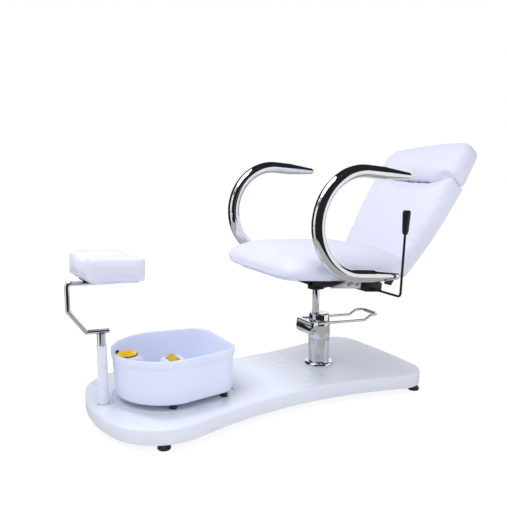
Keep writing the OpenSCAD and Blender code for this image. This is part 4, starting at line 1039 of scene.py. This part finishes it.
class SPACHAIR_OT_back_cushions(bpy.types.Operator):
    """Backrest cushion and the bolster that heads it"""
    bl_idname = "spachair.back_cushions"
    bl_label = "Back cushions"

    def execute(self, context):
        covers = {}
        for node, name, voxel, sign in (("backrest_cushion", "back_pad", 0.006, -1),
                                        ("headrest_cushion", "head_pad", 0.005, 1)):
            pad = cad_copy(node, name)
            whole = points_of(pad)
            remeshed(pad, voxel, rounds=8)

            def clear_of_board(co):
                return smooth_step(PAD_REAR - to_back(co)[:, 1], 0.001, 0.014)
            blown_up(pad, sizes().back_fill, held=clear_of_board)
            finely(pad, whole, to_back, back_to_world)
            local = to_back(points_of(pad))
            local[:, 2] -= sign * SEAM_PRESS * np.exp(-((local[:, 2] - SEAM_U) / 0.02) ** 2)
            local[:, 2] += seam_shift(local)
            if node == "headrest_cushion":
                local[:, 2] -= shrug(local)
            set_points(pad, back_to_world(local))
            puckered(pad, depth=0.0010, sign=sign)
            if node == "headrest_cushion":
                dent = [from_back(0.150 + 0.004 * i, -0.050 + 0.002 * i, 0.60 - 0.018 * i) for i in range(8)]
                grooved(pad, dent, width=0.016, depth=0.0035)
                side = [from_back(0.238, 0.020 - 0.006 * i, 0.615 - 0.019 * i) for i in range(8)]
                grooved(pad, side, sizes().seam_width, sizes().seam_depth)
            standing(pad, "back", "upholstery", node)
            covers[name] = pad
        across = np.array([(0.215 - 0.010 * i, -0.066, SEAM_U) for i in range(44)])
        front = [from_back(x, n, u - 0.012 + climb) for (x, n, u), climb in zip(across, seam_shift(across))]
        seam = stitched("seam_stitches", covers["back_pad"], front, sizes().stitch_length * 1.35)
        standing(seam, "back", "upholstery", finish="white_thread")
        return {"FINISHED"}


# The footrest's bar: its turn about the post, its height, and how far its tail reaches past the post.
BAR_TURN, BAR_Z, BAR_TAIL = 5.0, 0.337, 0.024


class SPACHAIR_OT_footrest_pad(bpy.types.Operator):
    """Footrest pad with a hollow for the calves, and the plug in the tail of its bar"""
    bl_idname = "spachair.footrest_pad"
    bl_label = "Footrest pad"

    def execute(self, context):
        pad = cad_copy("footrest_pad", "leg_pad")
        whole = points_of(pad)
        remeshed(pad, voxel=0.004, rounds=6)
        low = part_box("footrest_pad")[0]
        blown_up(pad, sizes().pad_fill, held=lambda co: smooth_step(co[:, 2] - low.z, 0.0, 0.012))
        finely(pad, whole)
        standing(pad, "footrest", "upholstery", "footrest_pad")
        turn = math.radians(BAR_TURN)
        tail = (-math.sin(turn) * BAR_TAIL, POST_Y + math.cos(turn) * BAR_TAIL, BAR_Z)
        plug = ball(tail, 0.00795, segments=32, rings=16)
        plug.name = "bar_plug"
        smoothed(plug)
        standing(plug, "footrest", "chrome")
        return {"FINISHED"}


# ---------- foot basin ----------

# Out and up in millimetres, from the middle of the base up the outside, over the rim and down the inside.
BASIN_PROFILE = (
    (-40, 0), (-14, 0), (-10, 0.2), (-6, 0.9), (-3, 2.5), (-1, 6), (0, 11), (1.6, 40), (3.4, 74), (5.0, 104),
    (5.9, 120), (6.4, 127), (6.9, 131), (7.8, 133), (9.2, 134.4), (10.0, 136.5), (10.6, 142), (11.2, 149),
    (11.5, 154), (11.2, 157), (10.2, 159.2), (8.6, 160.0), (6.6, 159.8), (4.9, 158.6), (3.9, 156.4),
    (3.2, 152), (1.6, 126), (-1.2, 76), (-3.6, 34), (-5.0, 20), (-7.2, 13), (-11, 9), (-17, 7), (-40, 6.5))
# The last rings of the profile, which the finger grips leave alone.
INNER_RINGS = 11


class SPACHAIR_OT_basin(bpy.types.Operator):
    """Foot basin with a rolled rim and finger grips"""
    bl_idname = "spachair.basin"
    bl_label = "Foot basin"

    def execute(self, context):
        rings = [lifted(basin_plan(out / 1000), BASIN_Z + up / 1000) for out, up in BASIN_PROFILE]
        tub = drawn_up("foot_tub", rings)
        co = points_of(tub)
        height = co[:, 2] - BASIN_Z
        outward = np.linalg.norm(co[:, :2] - np.array([0.0, -0.42]), axis=1)
        side = smooth_step(np.abs(co[:, 0]), 0.120, 0.140)
        along = np.exp(-((co[:, 1] + 0.395) / 0.055) ** 4)
        band = np.exp(-((height - 0.122) / 0.0085) ** 2)
        outer = (outward > 0.10) & (height < 0.134)
        inner = np.zeros(len(co), bool)
        inner[-len(rings[0]) * INNER_RINGS:] = True
        press = sizes().rim_roll * side * along * band * (outer & ~inner)
        co[:, 0] -= np.sign(co[:, 0]) * press
        set_points(tub, co)
        smoothed(tub, 40.0)
        standing(tub, "basin", "basin_plastic", "basin_tub")
        bed = cad_copy("massage_bed", "massage_humps")
        remeshed(bed, voxel=0.0025, rounds=8)
        smoothed(bed)
        standing(bed, "basin", "basin_plastic", "massage_bed")
        return {"FINISHED"}


POD_CORNER = 0.012
POD_EDGE = 0.007
LAMP = (0.0, -0.816 + PUMP_Y)


def pod_plan(radius, width, front):
    """Plan of the control pod: the toe's arc, straight flanks and two rounded corners."""
    soft = POD_CORNER
    a = math.degrees(math.asin(width / radius))
    back = arc(TOE[0], TOE[1], radius, -90 - a, -90 + a, 30)
    right = arc(width - soft, -front - soft, soft, 0, 90, 7)
    left = arc(soft - width, -front - soft, soft, 90, 180, 7)
    return [(x, y + PUMP_Y) for x, y in back + right + left]


NUB_ROWS, NUBS_ROUND, NUB_RADIUS = 6, 11, 0.0038


class SPACHAIR_OT_basin_controls(bpy.types.Operator):
    """Control pod with its amber lamp, and the nubbed massage rollers"""
    bl_idname = "spachair.basin_controls"
    bl_label = "Basin controls"

    def execute(self, context):
        low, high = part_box("control_pod")
        rings = []
        for t in (0.0, 0.2, 0.4, 0.6, 0.8, 0.9):
            rings.append(lifted(pod_plan(0.167 + 0.0155 * t, 0.0535 - 0.002 * t, 0.7705 + 0.002 * t),
                                low.z + (high.z - low.z) * t))
        for i in range(7):
            a = math.radians(15 * i)
            inset = POD_EDGE * (1 - math.cos(a))
            rings.append(lifted(pod_plan(0.1825 - inset, 0.0515 - inset, 0.7725 + inset),
                                high.z - POD_EDGE * (1 - math.sin(a))))
        pod = drawn_up("lamp_pod", rings)
        plan = oval(0.0272, 0.0312, *LAMP)
        cut_away(pod, drawn_up("recess", [lifted(plan, high.z - 0.005), lifted(plan, high.z + CUT_OVER)]))
        smoothed(pod, 35.0)
        standing(pod, "basin", "basin_plastic", "control_pod")

        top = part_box("lamp_lens")[1].z
        shell = [(0.06, top - 0.0022), (0.35, top - 0.0028), (0.62, top - 0.0046), (0.80, top - 0.0074),
                 (0.90, top - 0.0106), (0.925, high.z + 0.0005), (0.985, high.z + 0.0001),
                 (0.993, high.z + 0.0035), (0.96, high.z + 0.0062), (0.87, high.z + 0.0095),
                 (0.72, high.z + 0.0120), (0.52, high.z + 0.0136), (0.28, top - 0.0003), (0.06, top)]
        lens = drawn_up("lamp_dome", [lifted(oval(0.031 * k, 0.035 * k, *LAMP), z) for k, z in shell])
        smoothed(lens)
        standing(lens, "basin", "amber_plastic", "lamp_lens", finish="amber_lens")

        jets = joined("lamp_beads", [
            ball((LAMP[0] + x, LAMP[1] + y, high.z + 0.0002), 0.0046, segments=24, rings=14)
            for x, y in ((-0.013, 0.012), (0.010, 0.017), (0.016, -0.004), (-0.004, -0.002),
                         (-0.017, -0.011), (0.004, -0.019))])
        smoothed(jets)
        standing(jets, "basin", "black_plastic")

        for node, body, name in (("massage_roller_left", "roller_left", "nubbed_roller_left"),
                                 ("massage_roller_right", "roller_right", "nubbed_roller_right")):
            first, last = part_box(node)
            length = last.x - first.x
            axis = ((first.y + last.y) / 2, (first.z + last.z) / 2)
            rise = sizes().nub_rise
            core = (last.z - first.z) / 2 - rise
            profile = [(0.0, 0.0031), (0.0, core - 0.0045), (0.0004, core - 0.0028), (0.0014, core - 0.0011),
                       (0.003, core - 0.0002)]
            middle = [(0.0038 + (length - 0.0076) * i / 62, core) for i in range(63)]
            profile = profile + middle + [(length - x, r) for x, r in reversed(profile)]

            def nubs(along, turn):
                pitch = length / NUB_ROWS
                row = np.clip(np.floor(along / pitch), 0, NUB_ROWS - 1)
                dx = along - (row + 0.5) * pitch
                step = 2 * math.pi / NUBS_ROUND
                phase = turn + (row % 2) * step / 2
                dt = (phase / step - np.round(phase / step)) * step * core
                d = np.sqrt(dx ** 2 + dt ** 2) / NUB_RADIUS
                return rise * np.sqrt(np.clip(1 - np.clip(d, 0, 1) ** 2.2, 0, 1))
            roller = turned_ring(name, profile, around=132, start=(first.x, *axis), swell=nubs)
            standing(roller, body, "amber_plastic", node)
        return {"FINISHED"}


# ---------- castings, plates and boards with broken edges ----------

EDGED = (
    ("pump_head", 0.0016), ("pedal_yoke", 0.0012), ("seat_mount_plate", 0.0010), ("seat_frame", 0.0012),
    ("armrest_mount_left", 0.0010), ("armrest_mount_right", 0.0010), ("hinge_bracket_left", 0.0012),
    ("hinge_bracket_right", 0.0012), ("back_arm_left", 0.0010), ("back_arm_right", 0.0010),
    ("recline_crank", 0.0008), ("back_board", 0.0020), ("seat_board", 0.0020), ("pad_board", 0.0012),
    ("pad_plate", 0.0008), ("lock_housing", 0.0018), ("control_knob", 0.0006), ("swivel_hub", 0.0010),
    ("post_tube", 0.0006), ("release_grip", 0.0010))

# The footrest's board is wrapped in the pad's cover.
WRAPPED = {"pad_board": "upholstery"}
# How much fuller the release grip is than its construction part, square to its length.
GRIP_FULL = 1.2


class SPACHAIR_OT_broken_edges(bpy.types.Operator):
    """Rounds the edges of castings, plates and boards, so that they catch the light"""
    bl_idname = "spachair.broken_edges"
    bl_label = "Broken edges"

    def execute(self, context):
        for node, width in EDGED:
            piece = softened(node, f"edged_{node}", width)
            if node == "release_grip":
                co = points_of(piece)
                spine = np.polyval(np.polyfit(co[:, 2], co[:, 1], 1), co[:, 2])
                co[:, 1] = spine + (co[:, 1] - spine) * GRIP_FULL
                set_points(piece, co)
            standing(piece, frame["nodes"][node]["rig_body"], WRAPPED.get(node, SLOTS[node]), node)
        return {"FINISHED"}


# ---------- finishes on the construction parts ----------

class SPACHAIR_OT_finishes(bpy.types.Operator):
    """Finishes of all construction parts that stay in view"""
    bl_idname = "spachair.finishes"
    bl_label = "Finishes"

    def execute(self, context):
        for name, obj in frame["nodes"].items():
            obj.data.materials.clear()
            obj.data.materials.append(finish_of(SLOTS[name]))
        return {"FINISHED"}


class SPACHAIR_PT_panel(bpy.types.Panel):
    """Pieces of the chair"""
    bl_idname = "SPACHAIR_PT_panel"
    bl_label = "Pedicure spa chair"
    bl_space_type = "VIEW_3D"
    bl_region_type = "UI"
    bl_category = "Spa chair"

    def draw(self, context):
        for group in (context.scene.spa_chair_sizes, context.scene.spa_chair_colours):
            for key in group.__annotations__:
                self.layout.prop(group, key)
        for maker in MAKERS:
            self.layout.operator(maker.bl_idname)


MAKERS = (SPACHAIR_OT_stage, SPACHAIR_OT_finishes, SPACHAIR_OT_platform, SPACHAIR_OT_seat_cushion,
          SPACHAIR_OT_back_cushions, SPACHAIR_OT_footrest_pad, SPACHAIR_OT_basin, SPACHAIR_OT_basin_controls,
          SPACHAIR_OT_broken_edges)
CLASSES = (ChairSizes, ChairColours, *MAKERS, SPACHAIR_PT_panel)


def register():
    for cls in CLASSES:
        bpy.utils.register_class(cls)
    bpy.types.Scene.spa_chair_sizes = bpy.props.PointerProperty(type=ChairSizes)
    bpy.types.Scene.spa_chair_colours = bpy.props.PointerProperty(type=ChairColours)


def unregister():
    del bpy.types.Scene.spa_chair_colours
    del bpy.types.Scene.spa_chair_sizes
    for cls in reversed(CLASSES):
        bpy.utils.unregister_class(cls)


def main():
    register()
    for maker in MAKERS:
        group, name = maker.bl_idname.split(".")
        getattr(getattr(bpy.ops, group), name)()
    nothing_selected()


if __name__ == "__main__":
    main()
